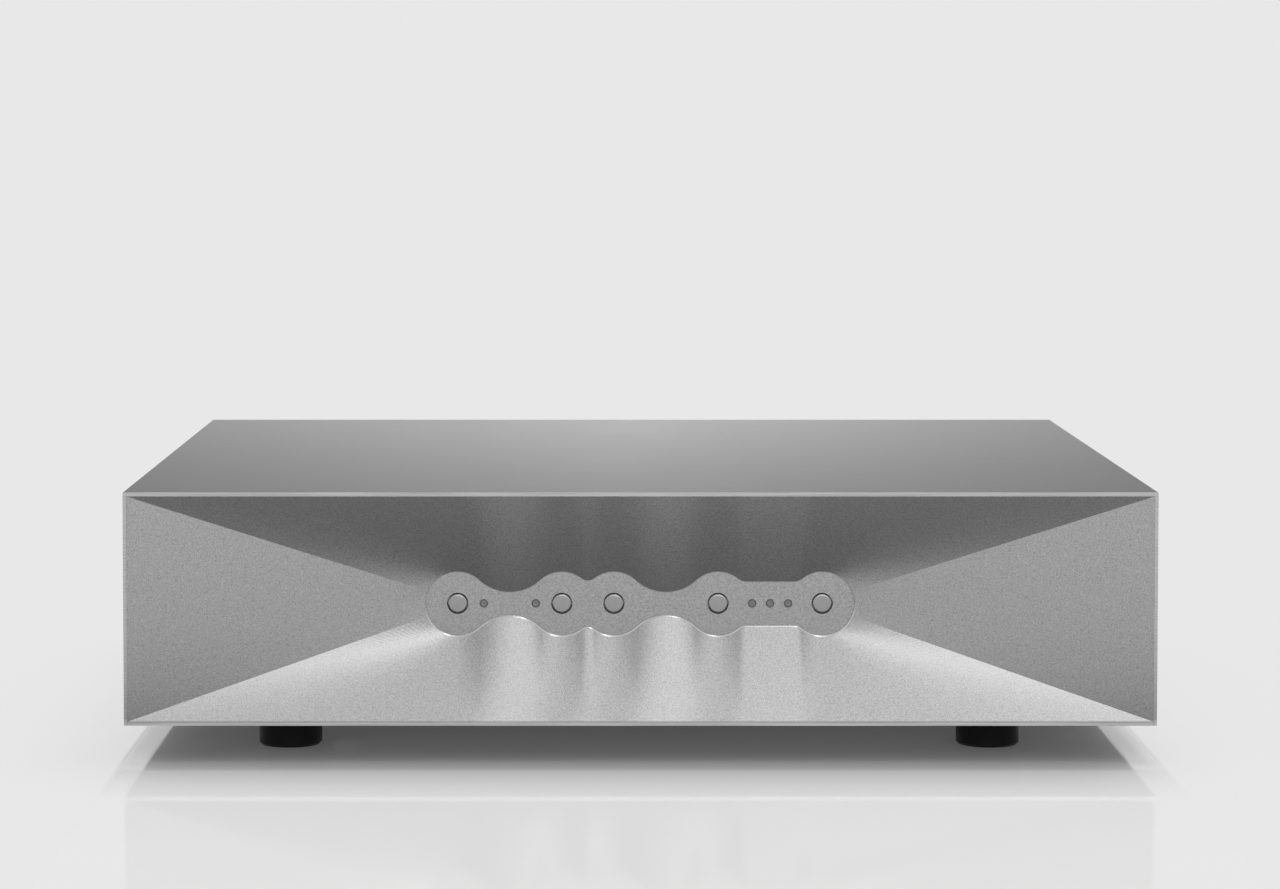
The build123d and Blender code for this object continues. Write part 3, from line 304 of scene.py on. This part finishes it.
# Painted shade: the walls inside the button and light holes are near black, standing in for the shade in
# the holes
bore_painted_shade = grained("painted bore shade", (0.06, 0.06, 0.06), roughness=0.5, metallic=1.0,
                     grain=0.0005, height=0.000004, contrast=0.04)
cover_metal = grained("brushed aluminium", (0.5, 0.5, 0.51), roughness=0.34, metallic=1.0,
                      grain=0.0006, height=0.000004, contrast=0.14, stretch=(60, 1, 1))
cover_shader = cover_metal.node_tree.nodes["Principled BSDF"]
cover_shader.inputs["Specular Tint"].default_value = (0.1, 0.1, 0.1, 1)
# Painted highlight: the cover's bottom edges at the front and rear are brightened in colour
add_painted_rim_highlight(cover_metal, factor=1.55)
button_metal = grained("turned aluminium", (0.36, 0.36, 0.366), roughness=0.24, metallic=1.0,
                       grain=0.0003, height=0.000003)
black_rubber = grained("black rubber", (0.004, 0.004, 0.0045), roughness=0.5, metallic=0.0,
                       grain=0.0005, height=0.00001)
rubber_shader = black_rubber.node_tree.nodes["Principled BSDF"]
rubber_shader.inputs["Specular IOR Level"].default_value = 0.2
light_plastic = grained("smoked light", (0.26, 0.26, 0.26), roughness=0.35, metallic=0.0,
                        grain=0.0005, height=0.00001, contrast=0.3)
# Painted shade: a darker ring round each indicator light
add_light_rim_shade(light_plastic, dark=0.5)

steel = {"roughness": 0.3, "metallic": 1.0, "grain": 0.0004, "height": 0.000004}
plastic = {"roughness": 0.45, "metallic": 0.0, "grain": 0.0005, "height": 0.000008}
gloss = {"roughness": 0.2, "metallic": 0.0, "grain": 0.002, "height": 0.000002}
finishes = {
    "case_screw_steel": ("case screw steel", (0.30, 0.30, 0.31), steel),
    "screw_steel": ("zinc plated steel", (0.55, 0.55, 0.56), steel),
    "inlet_screw_black": ("black screw steel", (0.05, 0.05, 0.05), steel),
    "board_laminate": ("board laminate", (0.03, 0.14, 0.07), plastic),
    "switch_plastic": ("switch plastic", (0.06, 0.06, 0.06), plastic),
    "lamp_plastic": ("lamp plastic", (0.85, 0.82, 0.6), gloss),
    "ribbon_plastic": ("ribbon plastic", (0.42, 0.42, 0.43), plastic),
    "can_steel": ("tinned steel", (0.6, 0.6, 0.6), steel),
    "relay_plastic": ("relay plastic", (0.75, 0.75, 0.72), gloss),
    "film_plastic": ("capacitor resin", (0.45, 0.06, 0.05), plastic),
    "can_sleeve": ("capacitor sleeve", (0.03, 0.03, 0.04), gloss),
    "chip_plastic": ("chip resin", (0.03, 0.03, 0.03), plastic),
    "heatsink_black": ("black anodised aluminium", (0.05, 0.05, 0.05), steel),
    "terminal_plastic": ("terminal plastic", (0.08, 0.35, 0.16), plastic),
    "winding_film": ("winding film", (0.72, 0.5, 0.12), gloss),
    "pad_rubber": ("sheet rubber", (0.04, 0.04, 0.04), plastic),
    "clamp_steel": ("clamp steel", (0.55, 0.55, 0.55), steel),
    "inlet_plastic": ("inlet plastic", (0.03, 0.03, 0.03), plastic),
    "blade_metal": ("nickel plate", (0.78, 0.74, 0.66), steel),
    "fuse_glass": ("fuse glass", (0.72, 0.74, 0.74), gloss),
    "rocker_plastic": ("rocker plastic", (0.02, 0.02, 0.02), gloss),
    "jack_plating": ("gold plate", (0.86, 0.68, 0.32), steel),
    "core_white": ("white core", (0.85, 0.85, 0.83), plastic),
    "core_red": ("red core", (0.6, 0.04, 0.04), plastic),
    "post_metal": ("gold plated brass", (0.82, 0.64, 0.3), steel),
    "lead_plastic": ("lead sleeve", (0.1, 0.1, 0.12), plastic),
}
looks = {
    "front_aluminium": front_metal,
    "cover_aluminium": cover_metal,
    "button_metal": button_metal,
    "foot_rubber": black_rubber,
    "light_plastic": light_plastic,
}
for slot, (name, colour, kind) in finishes.items():
    looks[slot] = grained(name, colour, **kind)


# Meshes

def build(name, points, faces, material, smooth=True):
    """A mesh object from points and faces, in place."""
    mesh = bpy.data.meshes.new(name)
    mesh.from_pydata([tuple(point) for point in points], [], faces)
    mesh.validate()
    mesh.update()
    for polygon in mesh.polygons:
        polygon.use_smooth = smooth
    mesh.materials.append(material)
    piece = bpy.data.objects.new(name, mesh)
    bpy.context.scene.collection.objects.link(piece)
    return piece


def settle(piece, angle=smooth_angle):
    """Applies the modifiers, points every face outwards and keeps sharp edges sharp."""
    graph = bpy.context.evaluated_depsgraph_get()
    mesh = bpy.data.meshes.new_from_object(piece.evaluated_get(graph))
    piece.modifiers.clear()
    piece.data = mesh
    work = bmesh.new()
    work.from_mesh(mesh)
    bmesh.ops.remove_doubles(work, verts=work.verts, dist=merge_distance)
    bmesh.ops.recalc_face_normals(work, faces=work.faces)
    for face in work.faces:
        face.smooth = True
    for edge in work.edges:
        edge.smooth = len(edge.link_faces) == 2 and edge.calc_face_angle(0) < math.radians(angle)
    work.to_mesh(mesh)
    work.free()
    return piece


def turned(name, centre, axis, profile, material, steps=turned_steps):
    """A closed solid turned about an axis through the centre, from (radius, along) corners."""
    along = Vector(axis)
    side = along.orthogonal().normalized()
    other = along.cross(side)
    points, rings, faces = [], [], []
    for radius, reach in profile:
        middle = Vector(centre) + along * reach
        if radius == 0:
            rings.append([len(points)])
            points.append(middle)
            continue
        rings.append(list(range(len(points), len(points) + steps)))
        for step in range(steps):
            angle = 2 * math.pi * (step + turned_offset) / steps
            points.append(middle + radius * (math.cos(angle) * side + math.sin(angle) * other))
    for first, second in zip(rings, rings[1:] + rings[:1]):
        for step in range(steps):
            corners = [first[step % len(first)], first[(step + 1) % len(first)],
                       second[(step + 1) % len(second)], second[step % len(second)]]
            loop = list(dict.fromkeys(corners))
            if len(loop) > 2:
                faces.append(loop)
    return settle(build(name, points, faces, material))


def quarter_round(edge, reach, radius):
    """Profile corners that round the edge between a flat face at reach and a wall at the radius."""
    points = []
    for step in range(edge_steps + 1):
        angle = math.pi / 2 * step / edge_steps
        points.append((radius - edge * (1 - math.sin(angle)), reach + edge * (1 - math.cos(angle))))
    return points


# The carved front

def arc_points(centre, radius, start, end, steps):
    """Points along an arc between two angles in degrees."""
    angles = [math.radians(start + (end - start) * step / steps) for step in range(steps + 1)]
    return [(centre[0] + radius * math.cos(a), centre[1] + radius * math.sin(a)) for a in angles]


def between(start, end, share):
    """The point at that share of the way from the start to the end."""
    return tuple(a + (b - a) * share for a, b in zip(start, end))


def fan(island, rim_start, rim_end):
    """Pairs island points with rim points at the same share of their span."""
    last = len(island) - 1
    return [(point, between(rim_start, rim_end, step / last)) for step, point in enumerate(island)]


def reflected(pairs, middle):
    """The pairs mirrored about x = middle, in the order that carries on from them."""
    return [tuple((2 * middle - x, z) for x, z in pair) for pair in reversed(pairs)]


def over(points, rim_z):
    """A wave's span paired with the straight rim right above it."""
    return fan(points, (points[0][0], rim_z), (points[-1][0], rim_z))


def valley_pairs(left, right, low, rim_z):
    """From one lobe's crest down to a valley and up to the next crest."""
    half = (right - left) / 2
    radius = (half**2 + low**2 - lobe_radius**2) / (2 * (lobe_radius - low))
    lean = math.degrees(math.atan2(half, low + radius))
    middle = (left + right) / 2
    flank = arc_points((left, 0), lobe_radius, 90, 90 - lean, valley_steps)
    bowl = arc_points((middle, low + radius), radius, -90 - lean, -90, valley_steps)
    down = over(flank, rim_z) + over(bowl, rim_z)
    return down + reflected(down, middle)


def bridge_pairs(left, right, rim_z):
    """From one lobe's crest down to the straight bridge between two lobes, and up again."""
    rise = bridge_height + bridge_fillet
    reach = math.sqrt((lobe_radius + bridge_fillet) ** 2 - rise**2)
    lean = math.degrees(math.atan2(reach, rise))
    flank = arc_points((left, 0), lobe_radius, 90, 90 - lean, bridge_flank_steps)
    bend = arc_points((left + reach, rise), bridge_fillet, -90 - lean, -90, bridge_bend_steps)
    down = over(flank, rim_z) + over(bend, rim_z)
    return down + reflected(down, (left + right) / 2)


def pair_distance(first, second):
    """How far apart two pairs are, on the island and on the rim together."""
    return math.dist(first[0], second[0]) + math.dist(first[1], second[1])


def outline_pairs():
    """Island and rim points all the way round, clockwise from the left nose."""
    rim_x = half_width - sheet - panel_land
    rim_z = half_height - sheet - panel_land
    left = lobe_centres[0]
    nose = arc_points((left, 0), lobe_radius, 180 + crease_angle, 180 - crease_angle, nose_steps)
    side = fan(nose, (-rim_x, -rim_z), (-rim_x, rim_z))
    shoulder = arc_points((left, 0), lobe_radius, 180 - crease_angle, 90, shoulder_steps)
    start = fan(shoulder, (-rim_x, rim_z), (left, rim_z))
    upper = start + valley_pairs(lobe_centres[0], lobe_centres[1], wide_valley, rim_z)
    upper += valley_pairs(lobe_centres[1], lobe_centres[2], notch_valley, rim_z)
    upper += valley_pairs(lobe_centres[2], lobe_centres[3], wide_valley, rim_z)
    upper += bridge_pairs(lobe_centres[3], lobe_centres[4], rim_z)
    upper += reflected(start, 0)
    lower = [tuple((x, -z) for x, z in pair) for pair in reversed(upper)]
    around = []
    for pair in side + upper + reflected(side, 0) + lower:
        if not around or pair_distance(pair, around[-1]) > merge_distance:
            around.append(pair)
    if pair_distance(around[0], around[-1]) < merge_distance:
        around.pop()
    return around


def lip_sizes(pairs):
    """The lip's width along the face and its depth: full below the island, least above it."""
    sizes = []
    for step, (island, rim) in enumerate(pairs):
        before, after = pairs[step - 1][0], pairs[(step + 1) % len(pairs)][0]
        along = Vector((after[0] - before[0], after[1] - before[1])).normalized()
        ruling = Vector((island[0] - rim[0], island[1] - rim[1])).normalized()
        square = max(lip_square_least, abs(along.cross(ruling)))
        width = lip_width * min(1, max(lip_least, lip_growth * ruling.y))
        sizes.append((width / square, width * lip_slope))
    return sizes


def face_column(island, rim, lip, drop):
    """Points from the rim down a carved face, closer towards the island, then over its lip."""
    short = lip / math.dist(island, rim)
    column = []
    for row in range(face_rows + 1):
        share = (1 - short) * (1 - (1 - row / face_rows) ** 2)
        x, z = between(rim, island, share)
        column.append((x, front_y + recess_depth * share, mid_z + z))
    for inwards in lip_stops:
        x, z = between(island, rim, short * (1 - inwards))
        column.append((x, front_y + recess_depth * (1 - short) + drop * inwards, mid_z + z))
    column.append((island[0], island_y, mid_z + island[1]))
    return column


def carved_faces(pairs, ring_count):
    """The faces between each ring of points and the next, and those across the island."""
    count = len(pairs)
    faces = []
    for row in range(ring_count - 1):
        first, second = row * count, (row + 1) * count
        for step in range(count):
            after = (step + 1) % count
            faces.append([first + step, first + after, second + after, second + step])
    island = (ring_count - 1) * count
    nose = min(range(count), key=lambda step: pairs[step][0][0])
    for step in range(count // 2):
        across = [nose + step, nose + step + 1, nose - step - 1, nose - step]
        faces.append(list(dict.fromkeys(island + corner % count for corner in across)))
    return faces


def billet_faces(pairs, corners, outer):
    """The billet's sides and back, and the flat rim between its corners and the first ring."""
    count = len(pairs)
    faces = []
    for step in range(4):
        after = (step + 1) % 4
        faces.append([outer + step, outer + 4 + step, outer + 4 + after, outer + after])
    faces.append([outer + 4 + step for step in range(4)])
    turns = [min(range(count), key=lambda step: math.dist(pairs[step][1], (x, z - mid_z)))
             for x, z in corners]
    for side in range(4):
        after = (side + 1) % 4
        first, last = turns[side], turns[after]
        span = list(range(first, last + 1))
        if last <= first:
            span = list(range(first, count)) + list(range(last + 1))
        faces.append([outer + side, outer + after] + span[::-1])
    return faces


def front_block():
    """The billet as one closed mesh, before its holes, with the lip in bright metal."""
    pairs = outline_pairs()
    columns = [face_column(*pair, *lip) for pair, lip in zip(pairs, lip_sizes(pairs))]
    rings = list(zip(*columns))
    points = [point for ring in rings for point in ring]
    corners = [(panel_low.x, panel_low.z), (panel_low.x, panel_high.z),
               (panel_high.x, panel_high.z), (panel_high.x, panel_low.z)]
    faces = carved_faces(pairs, len(rings)) + billet_faces(pairs, corners, len(points))
    for y in (front_y, back_y):
        points.extend((x, y, z) for x, z in corners)
    block = build("front_block", points, faces, front_metal)
    block.data.materials.append(edge_metal)
    for row in range(face_rows, face_rows + len(lip_stops)):
        for step in range(len(pairs)):
            block.data.polygons[row * len(pairs) + step].material_index = 1
    return block


def cut(piece, tools, angle):
    """Takes the tools' shapes out of the piece and deletes them."""
    for tool in tools:
        step = piece.modifiers.new("cut", "BOOLEAN")
        step.operation = "DIFFERENCE"
        step.solver = "MANIFOLD"
        step.object = tool
    settle(piece, angle)
    for tool in tools:
        bpy.data.objects.remove(tool)


def drill(x, radius, steps):
    """A round tool that goes through the island's floor at x."""
    length = island_floor + 2 * cut_margin
    profile = [(0, 0), (radius, 0), (radius, length), (0, length)]
    return turned("tool", (x, island_y - cut_margin, mid_z), (0, 1, 0), profile, None, steps)


def pocket_tool():
    """The box of the rear pocket, with its four edges along Y rounded."""
    half_x, half_z = (half - pocket_corner for half in pocket_half)
    points = []
    for y in (pocket_y, back_y + 2 * cut_margin):
        for side_x, side_z, start in ((-1, -1, 180), (1, -1, 270), (1, 1, 0), (-1, 1, 90)):
            middle = (side_x * half_x, mid_z + side_z * half_z)
            arc = arc_points(middle, pocket_corner, start, start + 90, pocket_corner_steps)
            points.extend((x, y, z) for x, z in arc)
    count = len(points) // 2
    faces = [list(range(count)), list(range(count, 2 * count))]
    for step in range(count):
        after = (step + 1) % count
        faces.append([step, after, count + after, count + step])
    return settle(build("tool", points, faces, None))


def make_front():
    """The front with its button holes, light holes and rear pocket."""
    front = settle(front_block(), front_smooth_angle)
    tools = [drill(x, button_hole_radius, button_hole_steps) for x in lobe_centres]
    tools += [drill(x, light_hole_radius, light_hole_steps) for x in light_centres]
    tools.append(pocket_tool())
    cut(front, tools, front_smooth_angle)
    # The faces inside the holes take the painted shade
    front.data.materials.append(bore_painted_shade)
    bores = [(x, button_hole_radius) for x in lobe_centres]
    bores += [(x, light_hole_radius) for x in light_centres]
    for face in front.data.polygons:
        middle = face.center
        for x, radius in bores:
            aside = math.dist((middle.x, middle.z), (x, mid_z))
            if middle.y > island_y + bore_tolerance and aside < radius + bore_tolerance:
                face.material_index = 2
    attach(front, "case")
    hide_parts("front_panel")


# Pieces

def dress_nodes():
    """Gives every node of the frame the material of its slot."""
    for entry in frame["record"]["subparts"]:
        mesh = nodes[entry["node"]].data
        mesh.materials.clear()
        mesh.materials.append(looks[entry["material_slot"]])


def make_button(name):
    """A turned button with a rounded edge, its flange and its stem."""
    low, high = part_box(name)
    x = (low.x + high.x) / 2
    flange_start = island_floor + seat_gap
    flange_end = flange_start + button_flange
    stem_end = high.y - island_y
    profile = [(0, -button_proud)] + quarter_round(button_edge, -button_proud, button_radius)
    profile += [(button_radius, flange_start), (button_flange_radius, flange_start),
                (button_flange_radius, flange_end), (button_stem_radius, flange_end),
                (button_stem_radius, stem_end), (0, stem_end)]
    button = turned(f"{name}_turned", (x, island_y, mid_z), (0, 1, 0), profile, button_metal)
    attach(button, name)
    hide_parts(name)


def make_foot(name):
    """A turned foot, bored from below."""
    low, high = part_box(name)
    x, y = (low.x + high.x) / 2, (low.y + high.y) / 2
    radius = (high.x - low.x) / 2
    profile = [(foot_bore_radius, 0), (radius - foot_bevel, 0), (radius, foot_bevel),
               (radius, high.z), (foot_hole_radius, high.z),
               (foot_hole_radius, foot_bore_depth), (foot_bore_radius, foot_bore_depth)]
    foot = turned(f"{name}_turned", (x, y, 0), (0, 0, 1), profile, black_rubber)
    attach(foot, "case")
    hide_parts(name)


dress_nodes()
make_front()
for button_name in button_names:
    make_button(button_name)
for foot_name in foot_names:
    make_foot(foot_name)


# Floor, light and camera

# The surround and the lamps
background = 0.807
sky_level = 0.5
key_level = 0.5
key_from = (160, 74)
key_width = 40
key_away = 3
front_box_level = 2.05
front_box_from = (8, 24)
front_box_away = 2.4
front_box_size = (1.7, 0.9)
edge_box_level = 2.5
edge_box_from = (25, 62)
edge_box_away = 1.5
edge_box_size = (0.5, 0.3)

# The floor's own light and gloss, and the bands over which they change
floor_reach = 40.0
floor_roughness = 0.06
floor_glow = 0.05
far_glow = 0.62
glow_end = (-front_y - 0.03, -front_y - 0.01)
glow_side = (half_width - 0.001, half_width + 0.002)
floor_gloss = 0.35
floor_gloss_start = (front_y - 0.022, front_y - 0.012)
floor_gloss_end = (front_y + 0.1, front_y + 0.13)
floor_gloss_side = (half_width - 0.003, half_width)
front_gloss = 0.048
step_gloss = 0.012
step_band = (front_y - 0.0795, front_y - 0.0775)

# The grey card on the floor in front
card_level = 0.225
card_reach = 0.16
card_full = 0.06
card_flare = 0.035
card_flare_side = (0.08, 0.2)
card_half = 0.4
card_under = 0.06
card_height = 0.0005
card_turn = 2

# The glowing card upright behind
rear_card_level = 9.3
rear_card_half = 0.56
rear_card_y = 0.5
rear_card_rise = (0.132, 0.25)
rear_card_sight = (0.7, 0.71)

# The camera, with its sensor and lens in millimetres
sensor_width = 36.0
lens = 100.64
lens_shift = (0.0376, -0.12)
camera_place = (-0.0203, -1.6722, 0.2701)
camera_dip = 2.814


def make_floor():
    """A wide pale floor, glossy under the front and faintly ahead, aglow beside and behind."""
    colour = (background - floor_glow,) * 3
    material, tree, shader = start_material("pale floor", colour, floor_roughness)
    shader.inputs["Emission Color"].default_value = (1, 1, 1, 1)
    place = position(tree)
    ahead = spread(tree, place["Y"], front_gloss, step_gloss, *step_band)
    under = spread(tree, place["Y"], 0, floor_gloss, *floor_gloss_start)
    most = calculate(tree, "MAXIMUM", ahead, under)
    behind = spread(tree, place["Y"], 1, 0, *floor_gloss_end)
    across = calculate(tree, "ABSOLUTE", place["X"])
    beside = spread(tree, across, 1, 0, *floor_gloss_side)
    shine = calculate(tree, "MULTIPLY", calculate(tree, "MULTIPLY", most, behind), beside)
    tree.links.new(shine, shader.inputs["Specular IOR Level"])
    near = spread(tree, place["Y"], 1, 0, *glow_end)
    below = calculate(tree, "MULTIPLY", near, spread(tree, across, 1, 0, *glow_side))
    base = spread(tree, below, background - far_glow, background - floor_glow, 0, 1)
    tree.links.new(base, shader.inputs["Base Color"])
    tree.links.new(spread(tree, below, far_glow, floor_glow, 0, 1), shader.inputs["Emission Strength"])
    corners = [(-floor_reach, -floor_reach, 0), (floor_reach, -floor_reach, 0),
               (floor_reach, floor_reach, 0), (-floor_reach, floor_reach, 0)]
    floor = build("floor", corners, [[0, 1, 2, 3]], material, smooth=False)
    return floor


def start_card_material(name):
    """A new material with its output, a light and a clear part, which aren't joined yet."""
    material = bpy.data.materials.new(name)
    material.use_nodes = True
    tree = material.node_tree
    tree.nodes.clear()
    output = tree.nodes.new("ShaderNodeOutputMaterial")
    light = tree.nodes.new("ShaderNodeEmission")
    clear = tree.nodes.new("ShaderNodeBsdfTransparent")
    return material, output, light, clear


def make_card(name, corners, material, turn=0):
    """A flat card, turned about the upright axis in degrees, which only reflections show."""
    card = build(name, corners, [[0, 1, 2, 3]], material, smooth=False)
    card.rotation_euler = (0, 0, math.radians(turn))
    card.visible_camera = False
    card.visible_diffuse = False
    card.visible_shadow = False
    card.visible_transmission = False


def make_grey_card():
    """A grey card on the floor in front, fading forwards, which shows from above alone."""
    material, output, light, clear = start_card_material("grey card")
    tree = material.node_tree
    light.inputs["Color"].default_value = (card_level,) * 3 + (1,)
    place = position(tree)
    across = calculate(tree, "ABSOLUTE", place["X"])
    outwards = spread(tree, across, 0, card_flare, *card_flare_side)
    reach = calculate(tree, "ADD", place["Y"], outwards)
    near = spread(tree, reach, 0, 1, front_y - card_reach, front_y - card_full)
    surface = tree.nodes.new("ShaderNodeNewGeometry")
    above = spread(tree, surface.outputs["Backfacing"], 1, 0, 0, 1)
    mix = tree.nodes.new("ShaderNodeMixShader")
    tree.links.new(calculate(tree, "MULTIPLY", near, above), mix.inputs["Fac"])
    tree.links.new(clear.outputs[0], mix.inputs[1])
    tree.links.new(light.outputs[0], mix.inputs[2])
    tree.links.new(mix.outputs[0], output.inputs["Surface"])
    half, height = card_half, card_height
    low, high = front_y - card_reach - card_flare, front_y + card_under
    corners = [(-half, low, height), (half, low, height), (half, high, height), (-half, high, height)]
    make_card("card", corners, material, card_turn)


def make_rear_card():
    """A glowing card upright behind the case, fading to its sides and top, which shows close by."""
    material, output, light, clear = start_card_material("glow card")
    tree = material.node_tree
    place = position(tree)
    across = calculate(tree, "ABSOLUTE", place["X"])
    beside = spread(tree, across, rear_card_level, 0, 0, rear_card_half)
    above = spread(tree, place["Z"], 1, 0, *rear_card_rise)
    path = tree.nodes.new("ShaderNodeLightPath")
    close = spread(tree, path.outputs["Ray Length"], 1, 0, *rear_card_sight)
    fading = calculate(tree, "MULTIPLY", beside, above)
    tree.links.new(calculate(tree, "MULTIPLY", fading, close), light.inputs["Strength"])
    both = tree.nodes.new("ShaderNodeAddShader")
    tree.links.new(light.outputs[0], both.inputs[0])
    tree.links.new(clear.outputs[0], both.inputs[1])
    tree.links.new(both.outputs[0], output.inputs["Surface"])
    half, y = rear_card_half, rear_card_y
    low, high = rear_card_rise
    corners = [(-half, y, low), (half, y, low), (half, y, high), (-half, y, high)]
    make_card("rear_card", corners, material)


def make_world():
    """An even pale surround: full for the camera and for reflections, and dimmer as light."""
    world = bpy.data.worlds.new("surround")
    world.use_nodes = True
    tree = world.node_tree
    shader = tree.nodes["Background"]
    path = tree.nodes.new("ShaderNodeLightPath")
    seen = calculate(tree, "MAXIMUM", path.outputs["Is Camera Ray"], path.outputs["Is Glossy Ray"])
    shown = calculate(tree, "MAXIMUM", seen, path.outputs["Is Transmission Ray"])
    shader.inputs["Color"].default_value = (1, 1, 1, 1)
    tree.links.new(spread(tree, shown, sky_level, background, 0, 1), shader.inputs["Strength"])
    bpy.context.scene.world = world


def aim(thing, target):
    """Turns a lamp to look at the target."""
    thing.rotation_euler = (Vector(target) - thing.location).to_track_quat("-Z", "Y").to_euler()


def direction(azimuth, elevation):
    """The unit vector that far right of straight ahead of the front and that far up, in degrees."""
    turn, rise = math.radians(azimuth), math.radians(elevation)
    return Vector((math.sin(turn) * math.cos(rise), -math.cos(turn) * math.cos(rise), math.sin(rise)))


def softbox(name, place, target, size, level, floor):
    """An area lamp of that size and brightness, which gives gloss to all but the floor."""
    width, height = size
    light = bpy.data.lights.new(name, "AREA")
    light.shape = "RECTANGLE"
    light.size = width
    light.size_y = height
    light.energy = level * math.pi * width * height
    box = bpy.data.objects.new(name, light)
    bpy.context.scene.collection.objects.link(box)
    box.location = place
    aim(box, target)
    box.visible_camera = False
    box.visible_diffuse = False
    spared = bpy.data.collections.new(f"{name} spares")
    spared.objects.link(floor)
    spared.collection_objects[0].light_linking.link_state = "EXCLUDE"
    box.light_linking.receiver_collection = spared


def make_lamps(floor):
    """A soft sun overhead, a broad softbox in front and a small one high up in front."""
    sun = bpy.data.lights.new("key", "SUN")
    towards = direction(*key_from)
    sun.angle = math.radians(key_width)
    sun.energy = key_level * math.pi / towards.z
    key = bpy.data.objects.new("key", sun)
    bpy.context.scene.collection.objects.link(key)
    key.location = towards * key_away
    key.visible_glossy = False
    aim(key, (0, 0, 0))
    middle = Vector((0, front_y, mid_z))
    front_place = middle + direction(*front_box_from) * front_box_away
    edge_place = middle + direction(*edge_box_from) * edge_box_away
    softbox("front_box", front_place, middle, front_box_size, front_box_level, floor)
    softbox("edge_box", edge_place, middle, edge_box_size, edge_box_level, floor)


def make_camera():
    """The photograph's view: a long lens, a little above the case."""
    data = bpy.data.cameras.new("camera")
    data.sensor_width = sensor_width
    data.lens = lens
    data.shift_x, data.shift_y = lens_shift
    camera = bpy.data.objects.new("camera", data)
    bpy.context.scene.collection.objects.link(camera)
    camera.location = camera_place
    camera.rotation_euler = (math.radians(90 - camera_dip), 0, 0)
    bpy.context.scene.camera = camera


floor = make_floor()
make_grey_card()
make_rear_card()
make_world()
make_lamps(floor)
make_camera()
bpy.context.scene.view_settings.view_transform = "Standard"
